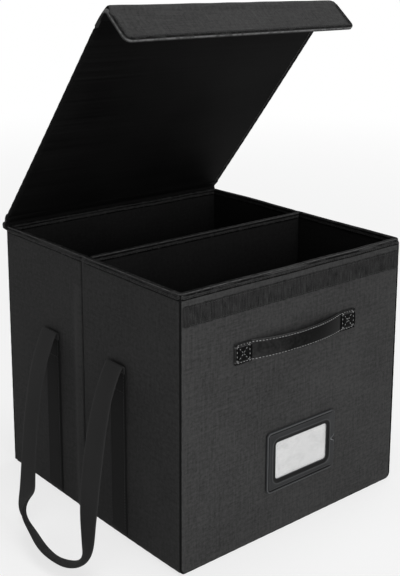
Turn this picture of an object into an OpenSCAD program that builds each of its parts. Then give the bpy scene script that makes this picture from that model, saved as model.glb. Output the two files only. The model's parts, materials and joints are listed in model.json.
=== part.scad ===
// Record carrying case: board walls in a woven cover, a folding lid with a
// hook-and-loop flap, a lift-out divider, a pull strap and two carry loops.
// It stands on z = 0 with its front towards -y, and the origin is in the middle
// of its underside. The lid rests half open, leaning forward over the case.

/* [Case] */
// Outside width, left to right
case_w = 348; // [290:1:420]
// Outside depth, front to back
case_d = 360; // [300:1:432]
// Outside height, floor to rim
case_h = 325; // [270:1:390]
// Board inside each stiff panel
board_t = 3; // [2:0.1:4]
// Cloth over each face of a board
cloth_t = 1; // [0.6:0.1:1.4]
// Diameter of the bead sewn into the outer seams
bead_d = 4; // [3:0.1:4.8]
// Distance from the middle of a side back to its fold
fold_y = 4; // [0:0.5:12]
// Width of the soft strip that each side folds along
fold_w = 9; // [6:0.5:16]
// Play of the loose base and divider in the case
loose_gap = 1; // [0.5:0.1:2]
// Distance from the middle of the case forward to the divider
divider_y = 5; // [0:1:60]
// Clearance round a bead in its seam
seam_gap = 0.2; // [0.1:0.05:0.3]

/* [Rim tape] */
// Depth of the tape folded over an edge
tape_h = 8; // [5:0.1:12]
// Thickness of the tape
tape_t = 0.7; // [0.4:0.1:1]

/* [Lid] */
// Angle of the resting lid above closed
lid_rest = 50.5; // [0:0.5:90]
// Width of the lid, past the case at both sides together
lid_over = 4; // [0:0.5:10]
// Gap between the closed lid and the rim
lid_gap = 0.7; // [0.5:0.1:2]
// Distance from the back wall out to the lid's fold line
hinge_out = 3; // [2.8:0.1:5]
// Radius of the rolled cloth at the lid's fold
hinge_r = 2.3; // [1.6:0.1:2.4]
// Height of the strip that joins the lid to the back wall
hinge_strip_h = 34; // [20:1:60]

/* [Flap] */
// Length of the flap from its fold line
flap_l = 52; // [45:1:66]
// Radius of the flap's outer corners
flap_corner = 9; // [4:0.5:16]
// Radius of the rolled cloth at the flap's fold
flap_fold_r = 1.9; // [1.4:0.1:2]
// Distance from the fold line to the flap's stiff part
flap_soft = 5.5; // [4:0.1:8]
// Thickness of the cloth web between a roll and its panel
web_t = 1.2; // [0.8:0.1:1.4]

/* [Fastener] */
// Height of the hook and loop strips
fastener_h = 23; // [16:1:28]
// Distance from the rim down to the loop strip
fastener_drop = 15; // [11:0.5:18]
// Thickness of each strip
fastener_t = 1.3; // [0.8:0.1:1.6]
// Bare cloth at each end of a strip
fastener_margin = 8; // [4:0.5:20]

/* [Pull strap] */
// Length over both sewn ends
pull_l = 193; // [150:1:232]
// Width of the strap
pull_w = 25; // [20:1:30]
// Thickness of the strap
pull_t = 2.4; // [1.8:0.1:3]
// Length of each sewn end
pull_pad = 25; // [18:1:30]
// Finger room under the middle of the strap
pull_arch = 11; // [8:0.5:16]
// Distance from the rim down to the strap's middle
pull_drop = 85.5; // [64:0.5:120]
// Distance of the strap's middle to the left of the case's middle
pull_left = 3.5; // [0:0.5:20]

/* [Label holder] */
// Width of the holder
label_w = 111.5; // [96:0.5:133.5]
// Height of the holder
label_h = 76; // [66:1:90]
// Corner radius of the holder
label_corner = 6; // [3:0.5:8]
// Width of the window
window_w = 86; // [70:1:90]
// Height of the window
window_h = 48.5; // [40:0.5:54]
// Corner radius of the window
window_corner = 5; // [2:0.5:8]
// Height of the holder's middle above the floor
label_z = 92.5; // [60:0.5:140]
// Distance of the holder's middle to the right of the case's middle
label_right = 6.5; // [0:0.5:40]
// Width of the card
card_w = 98; // [92:0.5:100]
// Height of the card
card_h = 56; // [54.5:0.5:58]
// Thickness of the card
card_t = 0.5; // [0.3:0.1:0.6]
// Radius of the thumb notch at the open end
thumb_r = 8; // [5:0.5:10]

/* [Carry loops] */
// Width of the webbing
web_w = 31.5; // [26:0.5:38]
// Thickness of the webbing
strap_t = 1.8; // [1.4:0.1:2.2]
// Distance of each webbing strip from the fold of the side
strap_y = 69.5; // [56:0.5:84]
// Height of the top of the sewn strips
strip_top = 209.5; // [174:0.5:250]
// Radius of the roll where a loop turns out of its strip
loop_roll_r = 3; // [2.4:0.1:3.4]
// Gap from a sewn strip up to the roll
loop_gap = 0.4; // [0.3:0.05:0.6]

/* [Hidden] */

$fn = 48;

front_y = -case_d / 2;
back_y = case_d / 2;
side_x = case_w / 2;
wall_t = board_t + 2 * cloth_t;
bead_r = bead_d / 2;
wall_top = case_h - tape_t;
cloth_pair = 2 * cloth_t;
bottom_t = cloth_pair;

hinge_y = back_y + hinge_out;
hinge_z = case_h + lid_gap + wall_t / 2;
lid_w = case_w + lid_over;
nose_r = wall_t / 2;
// Gap under a loose piece and between parts that move on each other
rest_gap = 0.3;
// The closed flap hangs just in front of the loop strip
flap_t = wall_t - cloth_t;
flap_mid_out = 2 * fastener_t + rest_gap + flap_t / 2;
lid_l = hinge_y - front_y + flap_mid_out;
hinge_web = 1.7;
fold_gap = 0.6;
lid_start = hinge_r + hinge_web;
lid_end = lid_l - flap_fold_r - fold_gap;
hook_start = hinge_z - case_h + fastener_drop;

plate_t = 0.7;
slot_t = 1;
film_t = 0.3;
film_play = 0.1;
face_t = 1.2;
rib_h = 0.5;
rib_w = 2.6;
groove_w = 1.2;
window_edge = 2.4;
card_play = 1;
card_rest = 1.5;
film_lap = 3;

strip_bottom = bead_d + 0.5;
// The roll's edge lies this far over the top of its strip
roll_tuck = 0.5;
pivot_x = side_x + strap_t + loop_roll_r - roll_tuck;
pivot_z = strip_top + loop_gap + loop_roll_r;

// Middle line of a carry loop from one roll to the other, as it lies slack on
// the floor: [out of the pivot, behind the side's fold, above the floor]
loop_out = [2.5, 20, 35.5, 50, 62, 70, 79, 86, 84, 72, 56, 47, 38, 23, 2.5];
loop_back = [-69.5, -73.6, -82.6, -94.5, -106, -111.5, -100, -69, -29, 12, 38, 49.5, 56.5, 63, 69.5];
loop_fall = [1, 0.834, 0.665, 0.495, 0.324, 0.16, 0.065, 0.045, 0.075, 0.1, 0.16, 0.29, 0.515, 0.77, 1];
// Share of a quarter turn that the webbing has twisted at each point
loop_twist = [0, 0, 0, 0, 0.05, 0.25, 0.65, 1, 1, 1, 0.85, 0.3, 0.05, 0, 0];
// Rise of the twisted webbing's outer edge, in degrees
loop_bank = 24;
// Least height of the webbing's underside above the floor
loop_float = 0.6;
loop_steps = 3;

cloth = [0.20, 0.20, 0.21];
side_cloth = [0.14, 0.14, 0.15];
lining = [0.08, 0.08, 0.09];
tape = [0.12, 0.12, 0.13];
bead = [0.05, 0.05, 0.05];
board = [0.55, 0.50, 0.42];
leather = [0.06, 0.06, 0.07];
webbing = [0.15, 0.15, 0.16];
fastener = [0.16, 0.16, 0.17];
plastic = [0.29, 0.30, 0.31];
film = [0.85, 0.90, 0.92];
card = [0.93, 0.93, 0.93];

// A rectangle with round corners, in the middle of its plane
module round_rect(w, h, r) {
    union() {
        square([w - 2 * r, h], center = true);
        square([w, h - 2 * r], center = true);
        for (x = [-1, 1], y = [-1, 1])
            translate([x * (w / 2 - r), y * (h / 2 - r)]) circle(r);
    }
}

// A cuboid given by its two corners
module span(low, high) {
    translate(low) cube(high - low);
}

// A flat shape drawn in y and z, drawn out along x about the middle
module across(w) {
    rotate([90, 0, 90]) linear_extrude(w, center = true) children();
}

module rod_x(r, w) {
    rotate([0, 90, 0]) cylinder(r = r, h = w, center = true);
}

module rod_y(r, from, to) {
    translate([0, from, 0]) rotate([-90, 0, 0]) cylinder(r = r, h = to - from);
}

// Walls

// Section of the groove for a bead, with the corner outside it cut away towards
// positive x and negative y
module groove() {
    circle(bead_r + seam_gap);
    translate([0, -bead_d]) square(bead_d);
}

// Front wall: the cover with grooves for the beads at its outer edges, and the
// pocket for the board, which the rim tape closes. The back wall mirrors it
module end_wall_cover() {
    difference() {
        span([-side_x, front_y, 0], [side_x, front_y + wall_t, wall_top]);
        for (x = [0, 1])
            mirror([x, 0, 0]) translate([side_x - bead_r, front_y + bead_r, -bead_d])
                linear_extrude(case_h + bead_d) groove();
        translate([0, front_y + bead_r, bead_r]) across(case_w + bead_d) rotate(-90) groove();
        for (x = [0, 1])
            mirror([x, 0, 0]) side_groove(front_y, front_y + wall_t);
        span([-end_board_x, front_y + cloth_t, end_board_z],
             [end_board_x, front_y + cloth_t + board_t, case_h]);
    }
}

end_board_x = side_x - bead_d - 2 * cloth_t;
end_board_z = bead_d + cloth_pair;

module end_wall_board() {
    span([-end_board_x, front_y + cloth_t, end_board_z],
         [end_board_x, front_y + cloth_t + board_t, wall_top]);
}

module front_cover() {
    color(cloth) end_wall_cover();
}

module front_board() {
    color(board) end_wall_board();
}

module back_cover() {
    color(cloth) mirror([0, 1, 0]) end_wall_cover();
}

module back_board() {
    color(board) mirror([0, 1, 0]) end_wall_board();
}

// Groove along the left bottom edge, past both ends of a stretch
module side_groove(from, to) {
    translate([-side_x + bead_r, from - bead_d, bead_r]) rotate([-90, 180, 0])
        linear_extrude(to - from + 2 * bead_d) groove();
}

// Half of the left side, between two depths
module side_half_cover(from, to) {
    difference() {
        span([-side_x, from, 0], [-side_x + wall_t, to, wall_top]);
        side_groove(from, to);
        span([-side_x + cloth_t, from + cloth_t, end_board_z],
             [-side_x + cloth_t + board_t, to - cloth_t, case_h]);
    }
}

module side_half_board(from, to) {
    span([-side_x + cloth_t, from + cloth_t, end_board_z],
         [-side_x + cloth_t + board_t, to - cloth_t, wall_top]);
}

side_front = front_y + wall_t;
side_back = back_y - wall_t;
fold_front = fold_y - fold_w / 2;
fold_back = fold_y + fold_w / 2;

module left_front_cover() {
    color(side_cloth) side_half_cover(side_front, fold_front);
}

module left_front_board() {
    color(board) side_half_board(side_front, fold_front);
}

module left_rear_cover() {
    color(side_cloth) side_half_cover(fold_back, side_back);
}

module left_rear_board() {
    color(board) side_half_board(fold_back, side_back);
}

module right_front_cover() {
    color(side_cloth) mirror([1, 0, 0]) side_half_cover(side_front, fold_front);
}

module right_front_board() {
    color(board) mirror([1, 0, 0]) side_half_board(side_front, fold_front);
}

module right_rear_cover() {
    color(side_cloth) mirror([1, 0, 0]) side_half_cover(fold_back, side_back);
}

module right_rear_board() {
    color(board) mirror([1, 0, 0]) side_half_board(fold_back, side_back);
}

// The two cloths sewn together between the boards of a side, set in from both
// faces so that the side folds inwards along them
module side_fold() {
    span([-side_x + (wall_t - cloth_pair) / 2, fold_front, bead_d + seam_gap],
         [-side_x + (wall_t + cloth_pair) / 2, fold_back, wall_top]);
}

module left_fold_strip() {
    color(side_cloth) side_fold();
}

module right_fold_strip() {
    color(side_cloth) mirror([1, 0, 0]) side_fold();
}

// Rim tape

// Tape over the front wall, with closed ends; the side tapes butt against it
module end_tape() {
    inner_x = side_x - wall_t - tape_t;
    difference() {
        union() {
            span([-side_x - tape_t, front_y - tape_t, case_h - tape_h],
                 [side_x + tape_t, front_y + wall_t, case_h]);
            span([-inner_x, front_y + wall_t, case_h - tape_h],
                 [inner_x, front_y + wall_t + tape_t, case_h]);
        }
        span([-side_x, front_y, 0], [side_x, front_y + wall_t, wall_top]);
    }
}

module side_tape() {
    difference() {
        span([-side_x - tape_t, side_front, case_h - tape_h],
             [-side_x + wall_t + tape_t, side_back, case_h]);
        span([-side_x, front_y, 0], [-side_x + wall_t, back_y, wall_top]);
    }
}

module front_binding() {
    color(tape) end_tape();
}

module back_binding() {
    color(tape) mirror([0, 1, 0]) end_tape();
}

module left_binding() {
    color(tape) side_tape();
}

module right_binding() {
    color(tape) mirror([1, 0, 0]) side_tape();
}

// Seam beads

module corner_beads() {
    color(bead)
        for (x = [-1, 1], y = [-1, 1])
            translate([x * (side_x - bead_r), y * (back_y - bead_r), bead_d + seam_gap])
                cylinder(r = bead_r, h = wall_top - bead_d - 2 * seam_gap);
}

module bottom_bead() {
    bead_x = side_x - bead_r;
    bead_y = back_y - bead_r;
    color(bead) translate([0, 0, bead_r]) union() {
        for (y = [-1, 1]) translate([0, y * bead_y, 0]) rod_x(bead_r, 2 * bead_x);
        for (x = [-1, 1]) translate([x * bead_x, 0, 0]) rod_y(bead_r, -bead_y, bead_y);
        for (x = [-1, 1], y = [-1, 1]) translate([x * bead_x, y * bead_y, 0]) sphere(bead_r);
    }
}

// Bottom, base and divider

module bottom_cloth() {
    color(lining) span([-side_x + wall_t, side_front, 0], [side_x - wall_t, side_back, bottom_t]);
}

base_x = side_x - wall_t - loose_gap;
base_y = side_back - loose_gap;
base_low = bottom_t + rest_gap;
base_top = base_low + wall_t;

module base_cover() {
    color(lining) difference() {
        span([-base_x, -base_y, base_low], [base_x, base_y, base_top]);
        base_core();
    }
}

module base_core() {
    span([-base_x + cloth_t, -base_y + cloth_t, base_low + cloth_t],
         [base_x - cloth_t, base_y - cloth_t, base_top - cloth_t]);
}

module base_board() {
    color(board) base_core();
}

// The divider is narrower than the rim tapes between which it lifts out
divider_x = side_x - wall_t - tape_t - loose_gap / 2;
divider_low = base_top + rest_gap;
divider_front = -divider_y - wall_t / 2;
divider_back = -divider_y + wall_t / 2;

module divider_core() {
    span([-divider_x + cloth_t, divider_front + cloth_t, divider_low + cloth_t],
         [divider_x - cloth_t, divider_back - cloth_t, wall_top]);
}

module divider_cover() {
    color(lining) difference() {
        span([-divider_x, divider_front, divider_low], [divider_x, divider_back, wall_top]);
        divider_core();
    }
}

module divider_board() {
    color(board) divider_core();
}

module divider_binding() {
    color(tape) difference() {
        span([-divider_x, divider_front - tape_t, case_h - tape_h],
             [divider_x, divider_back + tape_t, case_h]);
        span([-case_w, divider_front, 0], [case_w, divider_back, wall_top]);
    }
}

// Lid: its pieces are drawn closed, with the fold line at the back as the x
// axis and the lid reaching towards -y, and are then turned open

module on_lid() {
    translate([0, hinge_y, hinge_z]) rotate([-lid_rest, 0, 0]) children();
}

// A panel's section between two distances from the fold line, with round noses
module nosed(from, to, t) {
    translate([-to + t / 2, -t / 2]) square([to - from - t, t]);
    for (s = [from + t / 2, to - t / 2]) translate([-s, 0]) circle(t / 2);
}

lid_cover_w = lid_w - bead_d;

module lid_core() {
    span([-lid_cover_w / 2 + bead_d, -lid_end + wall_t, -board_t / 2],
         [lid_cover_w / 2 - bead_d, -lid_start - wall_t, board_t / 2]);
}

module lid_cover() {
    color(cloth) on_lid() difference() {
        across(lid_cover_w) nosed(lid_start, lid_end, wall_t);
        lid_core();
        for (x = [-1, 1]) translate([x * (lid_w / 2 - bead_r), 0, 0])
            rod_y(bead_r + seam_gap, -lid_end - 1, -lid_start + 1);
    }
}

module lid_board() {
    color(board) on_lid() lid_core();
}

module lid_beads() {
    color(bead) on_lid()
        for (x = [-1, 1]) translate([x * (lid_w / 2 - bead_r), 0, 0])
            rod_y(bead_r, -lid_end + nose_r / 2, -lid_start - nose_r / 2);
}

module hinge_fold() {
    color(cloth) on_lid() across(lid_w) difference() {
        union() {
            circle(hinge_r);
            translate([-lid_start - nose_r, -web_t / 2]) square([lid_start + nose_r, web_t]);
        }
        nosed(lid_start, lid_end, wall_t);
    }
}

module hinge_strip() {
    strip_y = back_y + tape_t;
    strip_x = side_x - 2 * bead_d;
    color(cloth) span([-strip_x, strip_y, case_h - hinge_strip_h],
                      [strip_x, strip_y + cloth_t, hinge_z - hinge_r - rest_gap]);
}

// Flap, drawn in line with the lid and then turned down a quarter turn

module on_flap() {
    on_lid() translate([0, -lid_l, 0]) rotate([90, 0, 0]) children();
}

flap_w = lid_w;

module flap_outline(w, from, to, r) {
    union() {
        translate([-w / 2, -to + r]) square([w, to - from - r]);
        translate([-w / 2 + r, -to]) square([w - 2 * r, to - from]);
        for (x = [-1, 1]) translate([x * (w / 2 - r), -to + r]) circle(r);
    }
}

module flap_core() {
    inset = bead_d + cloth_t;
    core_t = flap_t - 2 * cloth_t;
    translate([0, 0, -core_t / 2]) linear_extrude(core_t)
        flap_outline(flap_w - 2 * inset, flap_soft + flap_t, flap_l - inset, flap_corner - inset / 2);
}

module flap_cover() {
    color(cloth) on_flap() difference() {
        intersection() {
            across(flap_w) nosed(flap_soft, flap_l + flap_t, flap_t);
            translate([0, 0, -flap_t]) linear_extrude(2 * flap_t)
                flap_outline(flap_w - bead_d, flap_soft, flap_l - bead_r, flap_corner - bead_r);
        }
        flap_core();
    }
}

module flap_board() {
    color(board) on_flap() flap_core();
}

// Thin edge tape round the flap's three free edges
module flap_bead() {
    color(tape) on_flap() translate([0, 0, -flap_t / 2 + cloth_t / 2]) linear_extrude(flap_t - cloth_t)
        difference() {
            flap_outline(flap_w, flap_soft, flap_l, flap_corner);
            translate([0, 1]) flap_outline(flap_w - bead_d, flap_soft - 2, flap_l - bead_r + 1,
                                           flap_corner - bead_r);
        }
}

module flap_fold() {
    color(cloth) on_flap() across(flap_w - bead_d) difference() {
        union() {
            circle(flap_fold_r);
            translate([-flap_soft - flap_t / 2, -web_t / 2]) square([flap_soft + flap_t / 2, web_t]);
        }
        nosed(flap_soft, flap_l, flap_t);
    }
}

fastener_w = case_w - 2 * fastener_margin;

module hook_strip() {
    color(fastener) on_flap() translate([0, 0, -flap_t / 2 - fastener_t])
        linear_extrude(fastener_t) translate([-fastener_w / 2, -hook_start - fastener_h])
            square([fastener_w, fastener_h]);
}

module loop_strip() {
    strip_low = case_h - fastener_drop - fastener_h;
    color(fastener) span([-fastener_w / 2, front_y - fastener_t, strip_low],
                         [fastener_w / 2, front_y, strip_low + fastener_h]);
}

// Pull strap: flat sewn ends and a smooth bow between them

bow_l = pull_l - 2 * pull_pad;
bow_steps = 40;
function bow(x) = pull_arch / 2 * (1 + cos(360 * x / bow_l));
function bow_side(out) = [for (i = [0:bow_steps]) let (x = -bow_l / 2 + bow_l * i / bow_steps)
    [x, -bow(x) - out]];

module pull_strap() {
    outline = concat([[-pull_l / 2, 0]], bow_side(0), [[pull_l / 2, 0], [pull_l / 2, -pull_t]],
                     [for (i = [bow_steps:-1:0]) bow_side(pull_t)[i]], [[-pull_l / 2, -pull_t]]);
    color(leather) translate([-pull_left, front_y, case_h - pull_drop - pull_w / 2])
        linear_extrude(pull_w) polygon(outline);
}

// Label holder: a back plate, a slot open to the right for the card, and a face
// with a ribbed edge and a clear window

// Flat shapes drawn in x and z are given a thickness outwards from the front wall
module on_front(out, t) {
    translate([label_right, front_y - out, label_z]) rotate([90, 0, 0]) linear_extrude(t) children();
}

slot_out = plate_t;
film_out = slot_out + slot_t;
face_out = film_out + film_t + film_play;
holder_out = face_out + face_t;
slot_left = -window_w / 2 - film_lap - card_play;

module label_holder() {
    color(plastic) difference() {
        union() {
            on_front(0, holder_out) round_rect(label_w, label_h, label_corner);
            on_front(holder_out, rib_h) difference() {
                round_rect(label_w, label_h, label_corner);
                round_rect(label_w - 2 * rib_w, label_h - 2 * rib_w, label_corner - rib_w);
                translate([label_w / 2 - rib_w, -label_h / 2]) square([2 * rib_w, label_h]);
            }
            on_front(holder_out, rib_h)
                round_rect(window_w + 2 * window_edge, window_h + 2 * window_edge,
                           window_corner + window_edge);
        }
        // Window, and the pocket for its film behind the face
        on_front(film_out, holder_out) round_rect(window_w, window_h, window_corner);
        on_front(film_out - seam_gap, film_t + film_play + seam_gap)
            square([window_w + 2 * film_lap, window_h + 2 * film_lap], center = true);
        // Card slot, open at the right
        on_front(slot_out, slot_t) translate([slot_left, -card_h / 2 - card_play / 2])
            square([label_w, card_h + card_play]);
        // Thumb notch through the face
        on_front(film_out, holder_out) translate([label_w / 2, 0]) circle(thumb_r);
        // Groove inside the ribbed edge
        on_front(holder_out - rib_h, 2 * rib_h) difference() {
            round_rect(label_w - 2 * rib_w, label_h - 2 * rib_w, label_corner - rib_w);
            round_rect(label_w - 2 * rib_w - 2 * groove_w, label_h - 2 * rib_w - 2 * groove_w,
                       label_corner - rib_w - groove_w);
            translate([label_w / 2 - 2 * rib_w, -label_h / 2]) square([2 * rib_w, label_h]);
        }
    }
}

module label_window() {
    color(film) on_front(film_out + film_play, film_t)
        square([window_w + 2 * film_lap - seam_gap, window_h + 2 * film_lap - seam_gap], center = true);
}

module label_card() {
    color(card) on_front(slot_out + (slot_t - card_t) / 2, card_t)
        translate([slot_left + card_rest, -card_h / 2]) square([card_w, card_h]);
}

// Carry loops

// A sewn strip of webbing on the left side
module sewn_webbing(y) {
    color(webbing) span([-side_x - strap_t, y - web_w / 2, strip_bottom],
                        [-side_x, y + web_w / 2, strip_top]);
}

module left_front_webbing() {
    sewn_webbing(fold_y - strap_y);
}

module left_rear_webbing() {
    sewn_webbing(fold_y + strap_y);
}

module right_front_webbing() {
    mirror([1, 0, 0]) sewn_webbing(fold_y - strap_y);
}

module right_rear_webbing() {
    mirror([1, 0, 0]) sewn_webbing(fold_y + strap_y);
}

loop_last = len(loop_out) - 1;

// Smooth curve through a list of values
function held(list, i) = list[min(max(i, 0), len(list) - 1)];
function smooth(list, u) = let (i = floor(u), f = u - i,
    a = held(list, i - 1), b = held(list, i), c = held(list, i + 1), d = held(list, i + 2))
    b + f * ((c - a) / 2 + f * (a - 2.5 * b + 2 * c - d / 2 + f * (1.5 * (b - c) + (d - a) / 2)));

function loop_point(u) = [-pivot_x - smooth(loop_out, u),
    fold_y + smooth(loop_back, u) * strap_y / loop_back[loop_last],
    max(pivot_z * smooth(loop_fall, u), strap_t / 2 + loop_float)];
function unit(v) = v / norm(v);
function loop_way(u) = unit(loop_point(min(u + 0.1, loop_last)) - loop_point(max(u - 0.1, 0)));
// Direction across the webbing: along y on the legs, turned to lie flat at the bottom
function loop_across(u) = let (w = 90 * smooth(loop_twist, u), way = loop_way(u),
    leg = u < loop_last / 2 ? 1 : -1,
    v = [sin(w) * cos(loop_bank), leg * cos(w), -sin(w) * sin(loop_bank)])
    unit(v - (v * way) * way);

module carry_loop() {
    rings = loop_last * loop_steps;
    corners = [[1, 1], [-1, 1], [-1, -1], [1, -1]];
    points = [for (i = [0:rings]) let (u = i / loop_steps, p = loop_point(u),
        across = loop_across(u), out = cross(loop_way(u), across))
        for (c = corners) p + c[0] * web_w / 2 * across + c[1] * strap_t / 2 * out];
    sides = [for (i = [0:rings - 1], j = [0:3]) let (k = (j + 1) % 4)
        each [[4 * i + j, 4 * i + 4 + j, 4 * i + k], [4 * i + k, 4 * i + 4 + j, 4 * i + 4 + k]]];
    union() {
        polyhedron(points, concat([[0, 1, 2], [0, 2, 3]], sides,
            [[4 * rings + 2, 4 * rings + 1, 4 * rings], [4 * rings + 3, 4 * rings + 2, 4 * rings]]));
        for (y = [-1, 1]) translate([-pivot_x, fold_y + y * strap_y, pivot_z])
            rod_y(loop_roll_r, -web_w / 2, web_w / 2);
    }
}

module left_carry_loop() {
    color(webbing) carry_loop();
}

module right_carry_loop() {
    color(webbing) translate([0, 2 * fold_y]) rotate([0, 0, 180]) carry_loop();
}

front_cover();
front_board();
back_cover();
back_board();
left_front_cover();
left_front_board();
left_rear_cover();
left_rear_board();
right_front_cover();
right_front_board();
right_rear_cover();
right_rear_board();
left_fold_strip();
right_fold_strip();
front_binding();
back_binding();
left_binding();
right_binding();
corner_beads();
bottom_bead();
bottom_cloth();
base_cover();
base_board();
divider_cover();
divider_board();
divider_binding();
hinge_strip();
hinge_fold();
lid_cover();
lid_board();
lid_beads();
flap_fold();
flap_cover();
flap_board();
flap_bead();
hook_strip();
loop_strip();
pull_strap();
label_holder();
label_window();
label_card();
left_front_webbing();
left_rear_webbing();
right_front_webbing();
right_rear_webbing();
left_carry_loop();
right_carry_loop();
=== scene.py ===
import json
import math

import bmesh
import bpy
import numpy as np
from mathutils import Matrix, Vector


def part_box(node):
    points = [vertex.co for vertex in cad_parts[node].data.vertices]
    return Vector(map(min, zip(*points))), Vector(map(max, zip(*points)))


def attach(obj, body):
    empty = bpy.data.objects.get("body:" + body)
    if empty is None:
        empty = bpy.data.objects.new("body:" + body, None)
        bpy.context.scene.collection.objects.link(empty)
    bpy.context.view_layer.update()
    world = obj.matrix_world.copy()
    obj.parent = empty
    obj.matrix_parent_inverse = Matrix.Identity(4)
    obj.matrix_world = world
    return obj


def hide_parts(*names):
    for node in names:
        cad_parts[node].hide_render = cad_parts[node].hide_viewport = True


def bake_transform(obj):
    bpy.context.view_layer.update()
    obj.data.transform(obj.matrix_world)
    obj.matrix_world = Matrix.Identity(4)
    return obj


# A record carrying case: cloth-covered board walls, a folding lid with a flap,
# a divider, a pull strap, a label holder and two webbing carry loops.
# Lengths are metres. Front is -y, up is +z, and the case stands on z = 0.

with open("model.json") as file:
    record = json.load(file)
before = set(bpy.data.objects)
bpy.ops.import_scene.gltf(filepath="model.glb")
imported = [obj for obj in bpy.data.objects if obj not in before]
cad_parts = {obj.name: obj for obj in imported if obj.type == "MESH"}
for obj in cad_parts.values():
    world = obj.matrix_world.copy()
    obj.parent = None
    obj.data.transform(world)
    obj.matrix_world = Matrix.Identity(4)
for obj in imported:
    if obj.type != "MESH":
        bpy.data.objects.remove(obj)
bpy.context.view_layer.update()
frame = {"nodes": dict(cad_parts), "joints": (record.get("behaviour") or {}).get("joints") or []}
scene = bpy.context.scene
mm = 0.001


def cadCorners(*names):
    boxes = np.array([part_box(name) for name in names], float)
    return boxes[:, 0].min(axis=0), boxes[:, 1].max(axis=0)


def jointOf(name):
    return next(joint for joint in frame["joints"] if joint["name"] == name)


wallHigh = cadCorners("front_cover", "back_cover", "left_front_cover", "right_front_cover")[1]
rimTop = cadCorners("front_binding")[1][2]
halfWidth, halfDepth = wallHigh[0], wallHigh[1]
wallThick = cadCorners("back_cover")[1][1] - cadCorners("back_cover")[0][1]
foldLow, foldHigh = cadCorners("left_fold_strip")
foldMiddle = (foldLow[1] + foldHigh[1]) / 2

# The lid's own axes: x along its fold line, s from the fold line to the flap,
# t out through its outer face. The flap has the same at its own fold line.
hingeAt = np.array(jointOf("lid_hinge")["pos_m"])
flapAt = np.array(jointOf("flap_hinge")["pos_m"])
lidWay = (flapAt - hingeAt) / np.linalg.norm(flapAt - hingeAt)
lidOut = np.array([0, lidWay[2], -lidWay[1]])
lidLength = np.linalg.norm(flapAt - hingeAt)
flapWay, flapOut = -lidOut, lidWay
xAxis, yAxis, zAxis = np.eye(3)

print("frame loaded")


# Camera, lights and floor

view = {
    "place": (-0.82500, -1.01030, 0.67840),
    "yaw": 41.769,  # degrees from +y towards +x
    "pitch": 12.033,  # degrees below level
    "roll": 0.685,
    "lens": 66.597,
    "sensor": 36.0,
    "shift": (-0.08111, -0.19870),
}


# Stands a thing at a place, with the way it looks from as its third axis
def aimed(place, right, up, back):
    turn = Matrix([[right[i], up[i], back[i]] for i in range(3)]).to_4x4()
    return Matrix.Translation(place) @ turn


def addCamera():
    yaw, pitch, roll = (math.radians(view[key]) for key in ("yaw", "pitch", "roll"))
    level = math.cos(pitch)
    ahead = np.array([math.sin(yaw) * level, math.cos(yaw) * level, -math.sin(pitch)])
    flat = np.array([math.cos(yaw), -math.sin(yaw), 0.0])
    upright = np.cross(flat, ahead)
    right = math.cos(roll) * flat + math.sin(roll) * upright
    up = math.cos(roll) * upright - math.sin(roll) * flat
    data = bpy.data.cameras.new("viewCamera")
    data.lens, data.sensor_width = view["lens"], view["sensor"]
    data.shift_x, data.shift_y = view["shift"]
    camera = bpy.data.objects.new("viewCamera", data)
    camera.matrix_world = aimed(view["place"], right, up, -ahead)
    scene.collection.objects.link(camera)
    scene.camera = camera


lamps = {  # name: place, point it looks at, width, watts
    "frontSoftbox": ((-0.15, -2.4, 0.9), (0.0, -0.1, 0.15), 1.4, 26),
    "topSoftbox": ((0.1, -0.3, 2.6), (0.0, 0.0, 0.2), 1.8, 29),
    "leftCard": ((-2.3, -0.5, 0.6), (0.0, 0.0, 0.1), 1.2, 2),
    "lowCard": ((-0.95, -0.95, 0.12), (-0.15, -0.1, 0.0), 0.5, 3.4),
    "rightCard": ((2.4, 0.6, 1.3), (0.0, 0.0, 0.2), 1.4, 12),
    "backCard": ((-0.4, 2.6, 1.5), (0.0, 0.1, 0.3), 1.5, 20),
}


def addLamps():
    for name, (place, target, width, watts) in lamps.items():
        data = bpy.data.lights.new(name, "AREA")
        data.shape, data.size, data.energy = "DISK", width, watts
        lamp = bpy.data.objects.new(name, data)
        away = np.array(place) - np.array(target)
        away = away / np.linalg.norm(away)
        side = np.cross(zAxis, away)
        side = side / np.linalg.norm(side)
        lamp.matrix_world = aimed(place, side, np.cross(away, side), away)
        lamp.visible_camera = False
        scene.collection.objects.link(lamp)


# Shader maths: a socket that can stand in an expression, and the finish that
# makes its nodes

class Wire:
    def __init__(self, finish, socket):
        self.finish, self.socket = finish, socket

    def __add__(self, other):
        return self.finish.maths("ADD", self, other)

    def __radd__(self, other):
        return self.finish.maths("ADD", other, self)

    def __sub__(self, other):
        return self.finish.maths("SUBTRACT", self, other)

    def __rsub__(self, other):
        return self.finish.maths("SUBTRACT", other, self)

    def __mul__(self, other):
        return self.finish.maths("MULTIPLY", self, other)

    def __rmul__(self, other):
        return self.finish.maths("MULTIPLY", other, self)

    def __truediv__(self, other):
        return self.finish.maths("DIVIDE", self, other)

    def __pow__(self, other):
        return self.finish.maths("POWER", self, other)

    def sine(self):
        return self.finish.maths("SINE", self)

    def size(self):
        return self.finish.maths("ABSOLUTE", self)

    def above(self, other):
        return self.finish.maths("MAXIMUM", self, other)

    def ramp(self, low, high, lowest=0.0, highest=1.0):  # a smooth step between two levels
        return self.finish.node("ShaderNodeMapRange", {"interpolation_type": "SMOOTHSTEP"},
                                {0: self, 1: low, 2: high, 3: lowest, 4: highest})

    def stretched(self, scale):
        return self.finish.node("ShaderNodeVectorMath", {"operation": "MULTIPLY"}, {0: self, 1: scale})

    def parts(self):  # x, y and z of a vector
        split = self.finish.node("ShaderNodeSeparateXYZ", {}, {0: self}).socket.node
        return [Wire(self.finish, output) for output in split.outputs]


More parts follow.
